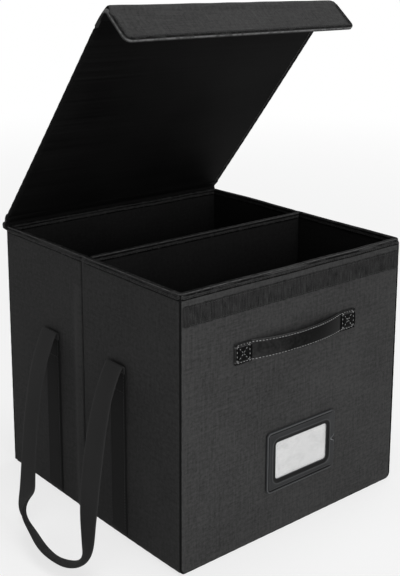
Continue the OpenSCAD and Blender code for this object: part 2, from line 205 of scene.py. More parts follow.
class Finish:
    def __init__(self, name, world=None):
        self.material = world or bpy.data.materials.new(name)
        self.material.use_nodes = True
        self.tree = self.material.node_tree
        self.tree.nodes.clear()

    def node(self, kind, settings, sockets, output=0):
        made = self.tree.nodes.new(kind)
        for key, value in settings.items():
            setattr(made, key, value)
        for key, value in sockets.items():
            if isinstance(value, Wire):
                self.tree.links.new(value.socket, made.inputs[key])
            else:
                made.inputs[key].default_value = value
        return Wire(self, made.outputs[output]) if len(made.outputs) else None

    def maths(self, operation, *values):
        return self.node("ShaderNodeMath", {"operation": operation}, dict(enumerate(values)))

    def cloth(self):  # metres along the piece's own weave
        return self.node("ShaderNodeUVMap", {"uv_map": "cloth"}, {})

    def place(self):
        return self.node("ShaderNodeTexCoord", {}, {}, "Object")

    def wear(self):  # per-point tone: 1 at an edge that rubs or a painted highlight, 0 away from it, below 0 where shade is painted
        return self.node("ShaderNodeAttribute", {"attribute_name": "wear"}, {}, "Fac")

    def noise(self, vector, scale, detail=2.0, rough=0.5):
        return self.node("ShaderNodeTexNoise", {"noise_dimensions": "3D"},
                         {"Vector": vector, "Scale": scale, "Detail": detail, "Roughness": rough})

    def cells(self, vector, scale, feature="F1"):
        return self.node("ShaderNodeTexVoronoi", {"feature": feature}, {"Vector": vector, "Scale": scale})

    def blend(self, share, low, high):
        return self.node("ShaderNodeMix", {"data_type": "RGBA"}, {0: share, 6: low, 7: high}, 2)

    def seen(self):  # 1 for what the camera, a reflection or the clear film looks at
        rays = ("Is Camera Ray", "Is Glossy Ray", "Is Transmission Ray")
        first, second, third = (self.node("ShaderNodeLightPath", {}, {}, ray) for ray in rays)
        return first.above(second).above(third)

    def bump(self, height, strength, depth):
        return self.node("ShaderNodeBump", {}, {"Strength": strength, "Distance": depth, "Height": height})

    def surface(self, sockets):
        made = self.node("ShaderNodeBsdfPrincipled", {}, sockets)
        self.node("ShaderNodeOutputMaterial", {}, {"Surface": made})
        return self.material


def rgb(grey, tint=(1.0, 1.0, 1.0)):
    return (grey * tint[0], grey * tint[1], grey * tint[2], 1.0)


# Plain weave: at each crossing the warp or the weft is on top in turn, threads
# swell between crossings, and slubs run along single threads
clothLooks = {
    "frontCloth": {"grey": 0.036, "pitch": 0.95 * mm, "slub": 1.2, "bump": 0.6, "rough": 0.82, "shine": 0.10},
    # The sides' cloth is the front cloth made darker: painted shade for the sides
    "sideCloth": {"grey": 0.0215, "pitch": 0.95 * mm, "slub": 0.9, "bump": 0.6, "rough": 0.84, "shine": 0.10},
    "liningCloth": {"grey": 0.0085, "pitch": 0.7 * mm, "slub": 0.8, "bump": 0.35, "rough": 0.78,
                    "shine": 0.06},
}


def wovenCloth(name):
    look = clothLooks[name]
    f = Finish(name)
    uv = f.cloth()
    drift = f.noise(uv, 60.0, 2.0)
    u, v, _ = uv.parts()
    warp = u / look["pitch"] + drift * 1.4
    weft = v / look["pitch"] + f.noise(uv, 47.0, 2.0) * 1.4
    warpWave, weftWave = (warp * math.pi).sine(), (weft * math.pi).sine()
    over = (warpWave * weftWave).ramp(-0.25, 0.25)
    height = over * weftWave.size() + (1 - over) * warpWave.size()
    # Slubs: noise drawn out along the warp, and along the weft
    warpSlub = f.noise(uv.stretched((420.0, 26.0, 1.0)), 1.0, 4.0, 0.65)
    weftSlub = f.noise(uv.stretched((26.0, 420.0, 1.0)), 1.0, 4.0, 0.65)
    slub = warpSlub * 0.5 + weftSlub * 0.5
    mottle = f.noise(uv, 240.0, 3.0, 0.7)
    broad = f.noise(uv, 9.0, 3.0)
    level = 0.5 + (slub - 0.5) * look["slub"] + (mottle - 0.5) * 0.9 + (broad - 0.5) * 0.35
    # The per-point tone adds edge wear and painted highlights along rims and the sides' ridge
    level = level + (height - 0.5) * 0.3 + f.wear() * 0.4
    colour = f.blend(level.ramp(-0.1, 1.1), rgb(look["grey"] * 0.35), rgb(look["grey"] * 1.7))
    return f.surface({
        "Base Color": colour,
        "Roughness": slub * 0.12 + (look["rough"] - 0.06),
        "Specular IOR Level": look["shine"],
        "Normal": f.bump(height * 0.6 + slub * 0.7, look["bump"], 0.35 * mm),
    })


# Lid lining: a smooth calendered cloth with faint streaks across the lid
def streakedLining():
    f = Finish("lidLining")
    uv = f.cloth()
    streak = f.noise(uv.stretched((2.2, 260.0, 1.0)), 1.0, 4.0, 0.65)
    fine = f.noise(uv, 1400.0, 2.0)
    soft = f.noise(uv, 7.0, 3.0)
    level = streak * 0.6 + soft * 0.5 + fine * 0.25
    return f.surface({
        "Base Color": f.blend(level.ramp(0.4, 0.95), rgb(0.0009), rgb(0.0066)),
        "Roughness": 0.6 + streak * 0.16, "Specular IOR Level": 0.04,
        "Normal": f.bump(streak * 0.5 + fine * 0.5, 0.25, 0.3 * mm),
    })


# Binding tape: ribs across a smooth folded tape, with painted highlights along
# its edges and painted shade on its top, at its lower edge and in its sewn lines
def ribbedTape():
    f = Finish("rimTape")
    uv = f.cloth()
    u = uv.parts()[0]
    rib = ((u / (0.8 * mm)) * math.pi + f.noise(uv, 300.0) * 1.5).sine().size()
    mottle = f.noise(uv.stretched((160.0, 500.0, 1.0)), 1.0, 3.0, 0.65)
    patch = f.noise(uv.stretched((120.0, 60.0, 1.0)), 1.0, 3.0, 0.65)
    paintedLight = f.wear() * (patch.ramp(0.3, 0.7) * 1.2 + 0.2)
    level = 0.17 + (rib - 0.6) * 0.1 + (mottle - 0.5) * 0.5 + paintedLight
    return f.surface({
        "Base Color": f.blend(level, rgb(0.0025), rgb(0.15)),
        "Roughness": 0.62 + mottle * 0.2, "Specular IOR Level": 0.04,
        "Normal": f.bump(rib * 0.6 + mottle * 0.4, 0.35, 0.25 * mm),
    })


# Corded seam: two twisted plies under a thin cloth
def seamCord():
    f = Finish("seamCord")
    uv = f.cloth()
    u, v, _ = uv.parts()
    twist = ((u + v * 1.3) / (1.5 * mm) * math.pi).sine().size()
    mottle = f.noise(uv, 700.0, 2.0)
    return f.surface({
        "Base Color": f.blend(twist * 0.5 + mottle * 0.4, rgb(0.0015), rgb(0.006)),
        "Roughness": 0.7 + mottle * 0.15, "Specular IOR Level": 0.06,
        "Normal": f.bump(twist + mottle * 0.3, 0.4, 0.25 * mm),
    })


# Loop strip: pile brushed into upright streaks, with thin places and stray loops
def loopPile():
    f = Finish("loopPile")
    uv = f.cloth()
    u = uv.parts()[0]
    wander = f.noise(uv.stretched((60.0, 90.0, 1.0)), 1.0, 3.0) * 2.2
    ribs = ((u / (1.7 * mm) + wander) * math.pi).sine().size()
    streak = f.noise(uv.stretched((520.0, 60.0, 1.0)), 1.0, 3.0, 0.7)
    curls = f.noise(uv, 900.0, 2.0)
    bare = f.noise(uv.stretched((70.0, 90.0, 1.0)), 1.0, 2.0)
    level = 0.42 + (ribs - 0.6) * 0.45 + (streak - 0.5) * 1.9 + (curls - 0.5) * 0.9 + (bare - 0.5) * 0.5
    return f.surface({
        "Base Color": f.blend(level, rgb(0.003), rgb(0.042)),
        "Roughness": 0.88 - curls * 0.1, "Specular IOR Level": 0.08,
        "Normal": f.bump(ribs * 0.5 + streak * 0.6 + curls * 0.6, 0.8, 0.6 * mm),
    })


# Hook strip: rows of small stiff hooks on a smooth tape
def hookRows():
    f = Finish("hookRows")
    uv = f.cloth()
    u, v, _ = uv.parts()
    hooks = ((u / (1.1 * mm)) * math.pi).sine().size() * ((v / (1.6 * mm)) * math.pi).sine().size()
    return f.surface({
        "Base Color": f.blend(hooks, rgb(0.004), rgb(0.024)),
        "Roughness": 0.6 - hooks * 0.15, "Specular IOR Level": 0.12,
        "Normal": f.bump(hooks, 0.7, 0.7 * mm),
    })


# Faux leather: a glossy coat over fine pebbled grain
def fauxLeather():
    f = Finish("fauxLeather")
    place = f.place()
    pebble = f.cells(place, 1050.0, "SMOOTH_F1")
    crease = f.noise(place, 260.0, 3.0)
    smudge = f.noise(place, 40.0, 3.0)
    # The per-point tone adds painted highlights at the edges and pads and a painted reflection on the bow
    level = (crease - 0.5) * 0.5 + f.wear() * (smudge + 0.4)
    return f.surface({
        "Base Color": f.blend(level.ramp(0.0, 1.6), rgb(0.0006), rgb(0.085)),
        "Roughness": smudge * 0.2 + crease * 0.1 + 0.18, "Specular IOR Level": 0.05,
        "Normal": f.bump(pebble * 0.8 + crease * 0.5, 0.22, 0.25 * mm),
    })


# Moulded plastic: a fine grain under faint flow marks, pale where it catches light
def satinPlastic():
    f = Finish("satinPlastic")
    place = f.place()
    spark = f.noise(place, 2600.0, 2.0)
    flow = f.noise(place, 35.0, 3.0)
    cool = (0.97, 1.0, 1.04)
    level = f.wear() * 0.25 + (flow - 0.5) * 0.06
    return f.surface({
        "Base Color": f.blend(level, rgb(0.002, cool), rgb(0.28, cool)),
        "Roughness": spark * 0.1 + flow * 0.08 + 0.34, "Specular IOR Level": 0.12,
        "Normal": f.bump(spark, 0.12, 0.12 * mm),
    })


# Film: nearly clear, with soft vertical haze
def clearFilm():
    f = Finish("clearFilm")
    place = f.place()
    haze = f.noise(place.stretched((30.0, 1.0, 55.0)), 1.0, 3.0)
    return f.surface({
        "Base Color": rgb(0.9), "Alpha": haze.ramp(0.42, 0.75, 0.05, 0.2),
        "Roughness": haze * 0.12 + 0.06, "Specular IOR Level": 0.6,
        "Normal": f.bump(haze, 0.1, 0.4 * mm),
    })


# Card: matt white paper with short fibres
def cardPaper():
    f = Finish("cardPaper")
    place = f.place()
    fibre = f.noise(place.stretched((1.0, 1.0, 2.2)), 900.0, 3.0, 0.7)
    tone = f.noise(place, 22.0, 2.0)
    return f.surface({
        "Base Color": f.blend(fibre * 0.5 + tone * 0.5, rgb(0.62), rgb(0.76)),
        "Roughness": 0.78 + fibre * 0.1, "Specular IOR Level": 0.3,
        "Normal": f.bump(fibre, 0.15, 0.1 * mm),
    })


# Webbing: fine ribs along its length crossed by slanting picks, pale selvedges
def wovenWebbing(name, dark, pale):
    f = Finish(name)
    uv = f.cloth()
    u, v, _ = uv.parts()
    rib = ((u / (1.55 * mm)) * math.pi).sine()
    picks = ((v / (0.95 * mm) + rib.size() * 0.55) * math.pi).sine().size()
    fuzz = f.noise(uv.stretched((1500.0, 500.0, 1.0)), 1.0, 3.0)
    tone = f.noise(uv.stretched((30.0, 12.0, 1.0)), 1.0, 2.0)
    level = rib.size() * 0.3 + picks * 0.35 + fuzz * 0.3 + tone * 0.25 + f.wear() * 0.45
    return f.surface({
        "Base Color": f.blend(level.ramp(0.2, 1.35), rgb(dark), rgb(pale)),
        "Roughness": 0.74 + fuzz * 0.12, "Specular IOR Level": 0.1,
        "Normal": f.bump(rib.size() * 0.6 + picks * 0.6, 0.5, 0.3 * mm),
    })


# Thread: a smooth ply with a little fuzz
def sewingThread(name, grey):
    f = Finish(name)
    place = f.place()
    fuzz = f.noise(place, 1800.0, 2.0)
    return f.surface({
        "Base Color": f.blend(fuzz.ramp(0.25, 0.75), rgb(grey * 0.6), rgb(grey * 1.4)),
        "Roughness": 0.42 + fuzz * 0.15, "Specular IOR Level": 0.2,
        "Normal": f.bump(fuzz, 0.3, 0.1 * mm),
    })


# Board: pressed brown fibres
def fibreBoard():
    f = Finish("fibreBoard")
    place = f.place()
    fibre = f.noise(place.stretched((1.0, 1.0, 3.0)), 240.0, 4.0, 0.7)
    return f.surface({
        "Base Color": f.blend(fibre.ramp(0.3, 0.7), (0.16, 0.13, 0.09, 1.0), (0.30, 0.25, 0.18, 1.0)),
        "Roughness": 0.85 + fibre * 0.1,
        "Normal": f.bump(fibre, 0.3, 0.3 * mm),
    })


frontCloth, sideCloth, liningCloth = (wovenCloth(name) for name in clothLooks)
lidLining = streakedLining()
rimTape = ribbedTape()
cordFinish = seamCord()
pileFinish = loopPile()
hookFinish = hookRows()
leatherFinish = fauxLeather()
plasticFinish = satinPlastic()
filmFinish = clearFilm()
paperFinish = cardPaper()
webbingFinish = wovenWebbing("wovenWebbing", 0.006, 0.037)
backWebbing = wovenWebbing("backWebbing", 0.0015, 0.011)  # the same webbing made darker: painted shade for the sewn strips, which lie in the loops' shade
darkThread = sewingThread("darkThread", 0.020)
# The pull strap's thread is made pale: painted highlights along its stitches
paleThread = sewingThread("paleThread", 0.30)
# A paler copy of the dark thread for the lid's underside stitches: painted light that shows them in shade
greyThread = sewingThread("greyThread", 0.06)
boardFinish = fibreBoard()
print("finishes made")


stage = {
    "floorGrey": 0.86,  # of the floor's matte share, which keeps the shadow
    "white": 0.72,  # share of plain white near the case, where the floor is looked at
    "turns": (0.9, 3.2),  # distances over which that share goes up to 1
    "reach": 14.0,
    "worldLight": 0.13,
}


# A pale floor that turns to the white of the surroundings further out
def addStage():
    f = Finish("paleFloor")
    x, y, _ = f.place().parts()
    far = ((x * x + y * y) ** 0.5).ramp(*stage["turns"])
    share = f.seen() * (stage["white"] + far * (1 - stage["white"]))
    matte = f.node("ShaderNodeBsdfDiffuse", {}, {"Color": rgb(stage["floorGrey"])})
    white = f.node("ShaderNodeEmission", {}, {"Color": rgb(1.0), "Strength": 1.0})
    mixed = f.node("ShaderNodeMixShader", {}, {0: share, 1: matte, 2: white})
    f.node("ShaderNodeOutputMaterial", {}, {"Surface": mixed})
    reach = stage["reach"]
    data = bpy.data.meshes.new("floor")
    corners = [(-reach, -reach, 0), (reach, -reach, 0), (reach, reach, 0), (-reach, reach, 0)]
    data.from_pydata(corners, [], [(0, 1, 2, 3)])
    data.materials.append(f.material)
    floor = bpy.data.objects.new("floor", data)
    floor.location.z = -0.4 * mm
    scene.collection.objects.link(floor)

    sky = Finish("surroundings", bpy.data.worlds.new("surroundings"))
    soft = sky.node("ShaderNodeBackground", {}, {"Color": rgb(1.0), "Strength": stage["worldLight"]})
    bright = sky.node("ShaderNodeBackground", {}, {"Color": rgb(1.0), "Strength": 1.0})
    mixed = sky.node("ShaderNodeMixShader", {}, {0: sky.seen(), 1: soft, 2: bright})
    sky.node("ShaderNodeOutputWorld", {}, {"Surface": mixed})
    scene.world = sky.material
    scene.view_settings.view_transform = "Standard"


addCamera()
addLamps()
addStage()
print("camera, lights and floor placed")


# Surfaces: grids of points gathered into one mesh

class Surface:
    def __init__(self):
        self.points, self.faces, self.corners, self.slots, self.wearAndLightValues = [], [], [], [], []
        self.count = 0

    # A grid of points, closed on itself in either direction; uv has one more
    # row or column where it is closed
    def grid(self, points, uv, closeU=False, closeV=False, slots=0, wear=0.0):
        nu, nv = points.shape[:2]
        rows, columns = np.arange(nu if closeU else nu - 1), np.arange(nv if closeV else nv - 1)
        i, j = np.meshgrid(rows, columns, indexing="ij")
        steps = ((0, 0), (1, 0), (1, 1), (0, 1))
        faces = np.stack([((i + a) % nu) * nv + (j + b) % nv for a, b in steps], axis=-1)
        corners = np.stack([uv[i + a, j + b] for a, b in steps], axis=-2)
        self.add(points.reshape(-1, 3), faces.reshape(-1, 4), corners.reshape(-1, 4, 2),
                 np.broadcast_to(slots, i.shape).ravel(), np.broadcast_to(wear, (nu, nv)).ravel())

    # The same small shape put down once for each place, with its own axes there
    def stamp(self, shape, faces, places, axes, slot=0):
        points = places[:, None, :] + np.einsum("mk,nkd->nmd", shape, axes)
        many = faces[None] + (np.arange(len(places)) * len(shape))[:, None, None]
        corners = np.broadcast_to(shape[faces][..., :2], (len(places),) + faces.shape + (2,))
        self.add(points.reshape(-1, 3), many.reshape(-1, 4), corners.reshape(-1, 4, 2),
                 np.full(many.shape[0] * many.shape[1], slot), np.zeros(points.size // 3))

    def add(self, points, faces, corners, slots, wearAndLightValues):
        self.points.append(points)
        self.faces.append(faces + self.count)
        self.corners.append(corners)
        self.slots.append(slots)
        self.wearAndLightValues.append(wearAndLightValues)
        self.count += len(points)

    def piece(self, name, finishes, body, slot, stands=(), weld=1e-6):
        data = bpy.data.meshes.new(name)
        data.from_pydata(np.concatenate(self.points), [], np.concatenate(self.faces))
        layer = data.uv_layers.new(name="cloth")
        layer.data.foreach_set("uv", np.concatenate(self.corners).astype(np.float32).ravel())
        wear = data.attributes.new("wear", "FLOAT", "POINT")
        wear.data.foreach_set("value", np.concatenate(self.wearAndLightValues).astype(np.float32))
        for finish in finishes:
            data.materials.append(finish)
        data.polygons.foreach_set("material_index", np.concatenate(self.slots).astype(np.int32))
        data.polygons.foreach_set("use_smooth", np.ones(len(data.polygons), bool))
        work = bmesh.new()
        work.from_mesh(data)
        bmesh.ops.remove_doubles(work, verts=work.verts, dist=weld)
        bmesh.ops.recalc_face_normals(work, faces=work.faces)
        work.to_mesh(data)
        work.free()
        made = bpy.data.objects.new(name, data)
        scene.collection.objects.link(made)
        if body:
            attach(made, body)
        if stands:
            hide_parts(*stands)
        return made


# Sum of seven long sine waves in random directions
def swell(a, b, seed, wave, height):
    draw = np.random.default_rng(seed)
    total = np.zeros(np.broadcast(a, b).shape)
    for _ in range(7):
        turn = draw.uniform(0, math.tau)
        length = wave * draw.uniform(0.6, 1.8)
        phase = draw.uniform(0, math.tau)
        total = total + np.sin(math.tau * (a * math.cos(turn) + b * math.sin(turn)) / length + phase)
    return height * total / 7 ** 0.5


# Small gathers along a seam, dying away with distance from it
def gathers(along, away, pitch, height, reach):
    turns = math.tau * along / pitch
    wander = 1.6 * np.sin(turns / 5.3) + 0.9 * np.sin(turns / 2.7 + 2)
    return height * np.exp(-np.maximum(away, 0) / reach) * np.sin(turns + wander)


def unit(vectors):
    return vectors / np.linalg.norm(vectors, axis=1, keepdims=True)


# Ways along a path, one at each of its points
def waysAlong(path):
    return unit(np.gradient(path, axis=0))


# What is left of some vectors at right angles to others, at length one
def squareTo(vectors, along):
    return unit(vectors - (vectors * along).sum(axis=1, keepdims=True) * along)


# Places on the cloth for a grid: the first list down it, the second across it
def clothPlan(down, across):
    return np.stack(np.broadcast_arrays(down[:, None], across[None, :]), axis=-1)


# Values at even steps of a path, from values at its own points
def evenly(where, run, values):
    return np.stack([np.interp(where, run, column) for column in values.T], axis=-1)


# The same vector for each of a number of points
def repeated(vector, count):
    return np.ones((count, 1)) * vector


# Spacing that is closer near both ends
def eased(low, high, count, ease=0.5):
    t = np.linspace(0, 1, count)
    return low + (high - low) * ((1 - ease) * t + ease * (1 - np.cos(math.pi * t)) / 2)


# A slab with a half-round rim: a closed loop round its girth, carried along its
# length, whose thickness follows a quarter circle to nothing at both ends.
# Corners of the outline are rounded by narrowing the rows near an end.
def slab(width, length, thick, cells, corners=(0.0, 0.0)):
    r = thick / 2
    arc = np.linspace(0, math.pi, 9)[1:-1]
    flat = eased(-width / 2 + r, width / 2 - r, cells[0])
    rounded = width / 2 - r + r * np.sin(arc)
    across = np.concatenate([flat, rounded, flat[::-1], -rounded])
    depth = np.concatenate([np.ones(cells[0]), np.cos(arc), -np.ones(cells[0]), -np.cos(arc)])
    turn = np.linspace(0, math.pi / 2, 6)
    middle = eased(r, length - r, cells[1])[1:-1]
    rows = np.concatenate([r - r * np.cos(turn), middle, (length - r + r * np.cos(turn))[::-1]])
    full = np.concatenate([np.sin(turn), np.ones(len(middle)), np.sin(turn)[::-1]])
    half = np.full(len(rows), width / 2)
    for corner, away in ((corners[0], rows), (corners[1], length - rows)):
        if corner > 0:
            short = np.clip(corner - away, 0, corner)
            half = half - (corner - np.sqrt(corner ** 2 - short ** 2))
    a = across[:, None] * (2 * half / width)[None, :]
    b = np.broadcast_to(rows[None, :], a.shape)
    n = depth[:, None] * r * full[None, :]
    uv = clothPlan(runLength(np.stack([across, depth * r], axis=-1), True), rows)
    edge = np.minimum(np.minimum(half[None, :] - np.abs(a), b), length - b)
    inner = np.zeros((len(across), len(rows) - 1), int)
    inner[cells[0] + len(arc) // 2:2 * cells[0] + len(arc) + len(arc) // 2] = 1
    return {"a": a, "b": b, "n": n, "side": depth[:, None] + 0 * a, "uv": uv, "edge": edge, "inner": inner}


# Puts a slab in space: a along one axis, b along another, n along the third,
# with a bend that moves both faces and a puff that moves each face outwards
def placeSlab(shape, origin, aAxis, bAxis, nAxis, bend=0.0, puff=0.0):
    n = shape["n"] + bend + puff * np.clip(shape["side"], -1, 1)
    return (np.asarray(origin) + shape["a"][..., None] * aAxis + shape["b"][..., None] * bAxis
            + n[..., None] * nAxis)


# Paler near a slab's edges: edge wear, and painted highlights along the rims
def edgeWearAndHighlight(shape, reach=2.5 * mm, most=1.0):
    return most * np.exp(-shape["edge"] / reach)


# Stitches: each a short thread that dips into the cloth at both ends
def stitchShape(length, radius):
    s = np.linspace(-1, 1, 7)
    turn = np.linspace(0, math.tau, 6, endpoint=False)
    width = radius * np.sqrt(np.clip(1 - s ** 6, 0, 1)) + 1e-6
    rise = radius * (0.55 - 1.1 * s ** 4)
    x = np.broadcast_to((s * length / 2)[:, None], (7, 6))
    y = width[:, None] * np.cos(turn)[None, :]
    z = rise[:, None] + width[:, None] * np.sin(turn)[None, :]
    i, j = np.meshgrid(np.arange(6), np.arange(6), indexing="ij")
    faces = np.stack([(i + a) * 6 + (j + b) % 6 for a, b in ((0, 0), (1, 0), (1, 1), (0, 1))], axis=-1)
    return np.stack([x, y, z], axis=-1).reshape(-1, 3), faces.reshape(-1, 4)


# Lays stitches end to end along a line of points, each standing on the normal
def stitchRow(target, line, normals, pitch=3.6 * mm, fill=0.78, radius=0.3 * mm, slot=0):
    run = runLength(line)
    count = max(1, int(run[-1] / pitch))
    centres = (np.arange(count) + 0.5) * run[-1] / count
    places = evenly(centres, run, line)
    ahead, behind = (evenly(centres + step * pitch, run, line) for step in (0.3, -0.3))
    along = unit(ahead - behind)
    up = squareTo(evenly(centres, run, normals), along)
    shape, faces = stitchShape(pitch * fill, radius)
    target.stamp(shape, faces, places, np.stack([along, np.cross(up, along), up], axis=1), slot)


def straight(start, end, count=24):
    return np.linspace(start, end, count)


# A profile carried along a path: at each point of the path the profile's two
# numbers go out along its own two axes
def carry(path, firstAxis, secondAxis, profile):
    return (path[:, None, :] + profile[..., 0:1] * firstAxis[:, None, :]
            + profile[..., 1:2] * secondAxis[:, None, :])


def runLength(path, closed=False):
    points = np.vstack([path, path[:1]]) if closed else path
    return np.concatenate([[0], np.cumsum(np.linalg.norm(np.diff(points, axis=0), axis=1))])


# Outline of a rectangle with round corners: points and outward directions,
# anticlockwise from the middle of the low side, spaced about evenly
def roundOutline(halfA, halfB, radius, step):
    corners = [(halfA - radius, -halfB + radius, -90), (halfA - radius, halfB - radius, 0),
               (-halfA + radius, halfB - radius, 90), (-halfA + radius, -halfB + radius, 180)]
    points, outs = [], []
    for k, (ca, cb, start) in enumerate(corners):
        turn = np.radians(np.linspace(start, start + 90, 9))
        outward = np.stack([np.cos(turn), np.sin(turn)], axis=-1)
        arc = np.array([ca, cb]) + radius * outward
        nextCorner = corners[(k + 1) % 4]
        nextFirst = np.array(nextCorner[:2]) + radius * outward[-1]
        gap = np.linalg.norm(nextFirst - arc[-1])
        share = np.linspace(0, 1, max(2, int(gap / step)))[1:-1, None]
        points += [arc, arc[-1] + (nextFirst - arc[-1]) * share]
        outs += [outward, np.broadcast_to(outward[-1], (len(share), 2))]
    return np.concatenate(points), np.concatenate(outs)


# Walls: each a covered board, the front and back ones between the two upright
# beads, with the sides' soft folds between their halves
walls = {
    "beadRadius": 1.25 * mm,
    "beadIn": 1.3 * mm,  # from a wall's outer face in to the bead's middle
    "frontRound": 7.5 * mm,  # radius of the two lower corners at the front
    "backRound": 2.5 * mm,
    "panelIn": 1.9 * mm,  # from the outer edge in to a panel's own rim
    "foldCover": 6.5 * mm,  # how far a side's front half reaches back over its fold
    "swell": 0.17 * mm,  # height of the long waves in the cloth
    "puff": 0.12 * mm,
    "gather": 0.22 * mm,  # height of the small gathers along a seam
    "belly": 2.5 * mm,  # how far the rear half of a side stands out next to its fold
    "crease": 1.1 * mm,  # how far a side's fold lies in
}
facings = {
    "front": (xAxis, -yAxis), "back": (-xAxis, yAxis),
    "left": (-yAxis, -xAxis), "right": (yAxis, xAxis),
}
beadRadius = walls["beadRadius"]


# How far the lower edge of a side curls inwards: a quarter circle whose radius
# shrinks from the front corner to the back one
def bottomTuck(height, y):
    share = np.clip((y + halfDepth) / (150 * mm), 0, 1)
    r = walls["frontRound"] + (walls["backRound"] - walls["frontRound"]) * share ** 0.7
    short = np.clip(r - height, 0, r)
    return r - np.sqrt(r ** 2 - short ** 2)


# Long waves over both faces, and on the outer one gathers that die away from the
# bottom seam and from the upright seams
def wallPuff(shape, height, seed):
    a, b = shape["a"], shape["b"]
    seam = gathers(a, height - b - 9 * mm, 7 * mm, walls["gather"], 6 * mm)
    seam = seam * (b < height - 7 * mm)
    upright = gathers(b, shape["edge"] + 0 * b, 8 * mm, walls["gather"] * 0.7, 3.5 * mm)
    waves = walls["puff"] + swell(a, b, seed, 150 * mm, walls["swell"])
    return waves + (seam + upright) * (shape["side"] > 0)


# A slab as high as its node, with its two lower corners rounded
def endWall(name, node, facing, seed, cells):
    low, high = cadCorners(node)
    across, out = facings[facing]
    width = high[0] - low[0] - 2 * walls["panelIn"]
    corner = walls[f"{facing}Round"] - walls["panelIn"] / 2
    shape = slab(width, high[2] - low[2], wallThick, cells, (corner, 0.0))
    origin = (low + high) / 2 * (1, 1, 0) + (0, 0, low[2] + 0.3 * mm)
    points = placeSlab(shape, origin, across, zAxis, out, 0.0, wallPuff(shape, high[2] - low[2], seed))
    made = Surface()
    # Its rims next to the beads get painted highlights
    made.grid(points, shape["uv"], True, False, shape["inner"], edgeWearAndHighlight(shape, most=0.5))
    return made.piece(name, [frontCloth, liningCloth], "case", "front_cloth", (node,))


# Near its fold the rear half of a side stands out in a rounded ridge, which dies
# away towards the rim
def foldBelly(fromFold, height):
    rise = walls["belly"] * np.exp(-((fromFold - 11 * mm) / (7 * mm)) ** 2)
    return rise * np.clip((wallHigh[2] - 12 * mm - height) / (90 * mm), 0, 1)


# A slab that reaches on to the end wall's bead, or over the fold, bent in along
# its lower edge and out along the ridge
def sideHalf(name, node, facing, seed):
    low, high = cadCorners(node)
    across, out = facings[facing]
    rear = (low[1] + high[1]) / 2 > foldMiddle
    reach = wallThick - walls["panelIn"]  # on past the end wall to its bead
    start, end = (low[1], high[1] + reach) if rear else (low[1] - reach, high[1] + walls["foldCover"])
    shape = slab(end - start, high[2] - low[2], wallThick, (70, 96))
    yAt = (start + end) / 2 + shape["a"] * across[1]
    outside = np.clip(shape["side"], 0, 1)
    bend = -bottomTuck(shape["b"], yAt)
    if rear:
        bend = bend + foldBelly(yAt - foldMiddle, shape["b"]) * outside
    origin = np.array([(low[0] + high[0]) / 2, (start + end) / 2, low[2] + 0.3 * mm])
    points = placeSlab(shape, origin, across, zAxis, out, bend, wallPuff(shape, high[2] - low[2], seed))
    made = Surface()
    # A painted highlight down the ridge behind the fold
    ridgeHighlight = np.exp(-((yAt - foldMiddle - 10 * mm) / (6 * mm)) ** 2) * (shape["b"] < rimTop - 40 * mm)
    made.grid(points, shape["uv"], True, False, shape["inner"], edgeWearAndHighlight(shape, most=0.4) + 0.6 * ridgeHighlight)
    return made.piece(name, [sideCloth, liningCloth], "case", "side_cloth", (node,))


# A thin slab that lies in behind the two halves and wanders a little
def foldStrip(name, node, facing):
    low, high = cadCorners(node)
    across, out = facings[facing]
    shape = slab(high[1] - low[1] + 2 * mm, high[2] - low[2], high[0] - low[0], (22, 80))
    bend = -walls["crease"] - bottomTuck(shape["b"], foldMiddle)
    wander = swell(shape["b"], 0 * shape["b"], 5, 90 * mm, 0.25 * mm)
    origin = (low + high) / 2 * (1, 1, 0) + (0, 0, low[2])
    points = placeSlab(shape, origin, across, zAxis, out, bend)
    points[..., 1] += wander
    made = Surface()
    made.grid(points, shape["uv"], True, False, shape["inner"])
    return made.piece(name, [sideCloth, liningCloth], "case", "side_cloth", (node,))


endWall("frontWall", "front_cover", "front", 11, (150, 130))
endWall("backWall", "back_cover", "back", 12, (80, 70))
for side in ("left", "right"):
    for number, half in enumerate(("front", "rear")):
        seed = 21 + number + 2 * (side == "right")
        sideHalf(f"{side}{half.title()}Wall", f"{side}_{half}_cover", side, seed)
    foldStrip(f"{side}Fold", f"{side}_fold_strip", side)
print("walls made")


# A cord: a circle that swells a little with each twist and closes at both ends,
# carried along a path
def cordTube(target, path, firstAxis, secondAxis, radius, sides=10, wear=0.0):
    turn = np.linspace(0, math.tau, sides, endpoint=False)
    run = runLength(path)
    ends = np.clip(np.minimum(run, run[-1] - run) / radius, 0, 1)
    swollen = radius * (1 + 0.05 * np.sin(run / (2.4 * mm))) * np.sqrt(1 - (1 - ends) ** 2)
    profile = swollen[:, None, None] * np.stack([np.cos(turn), np.sin(turn)], axis=-1)[None]
    around = np.append(turn, math.tau) * radius
    points = carry(path, firstAxis, secondAxis, profile)
    target.grid(points, clothPlan(run, around), False, True, 0, wear)


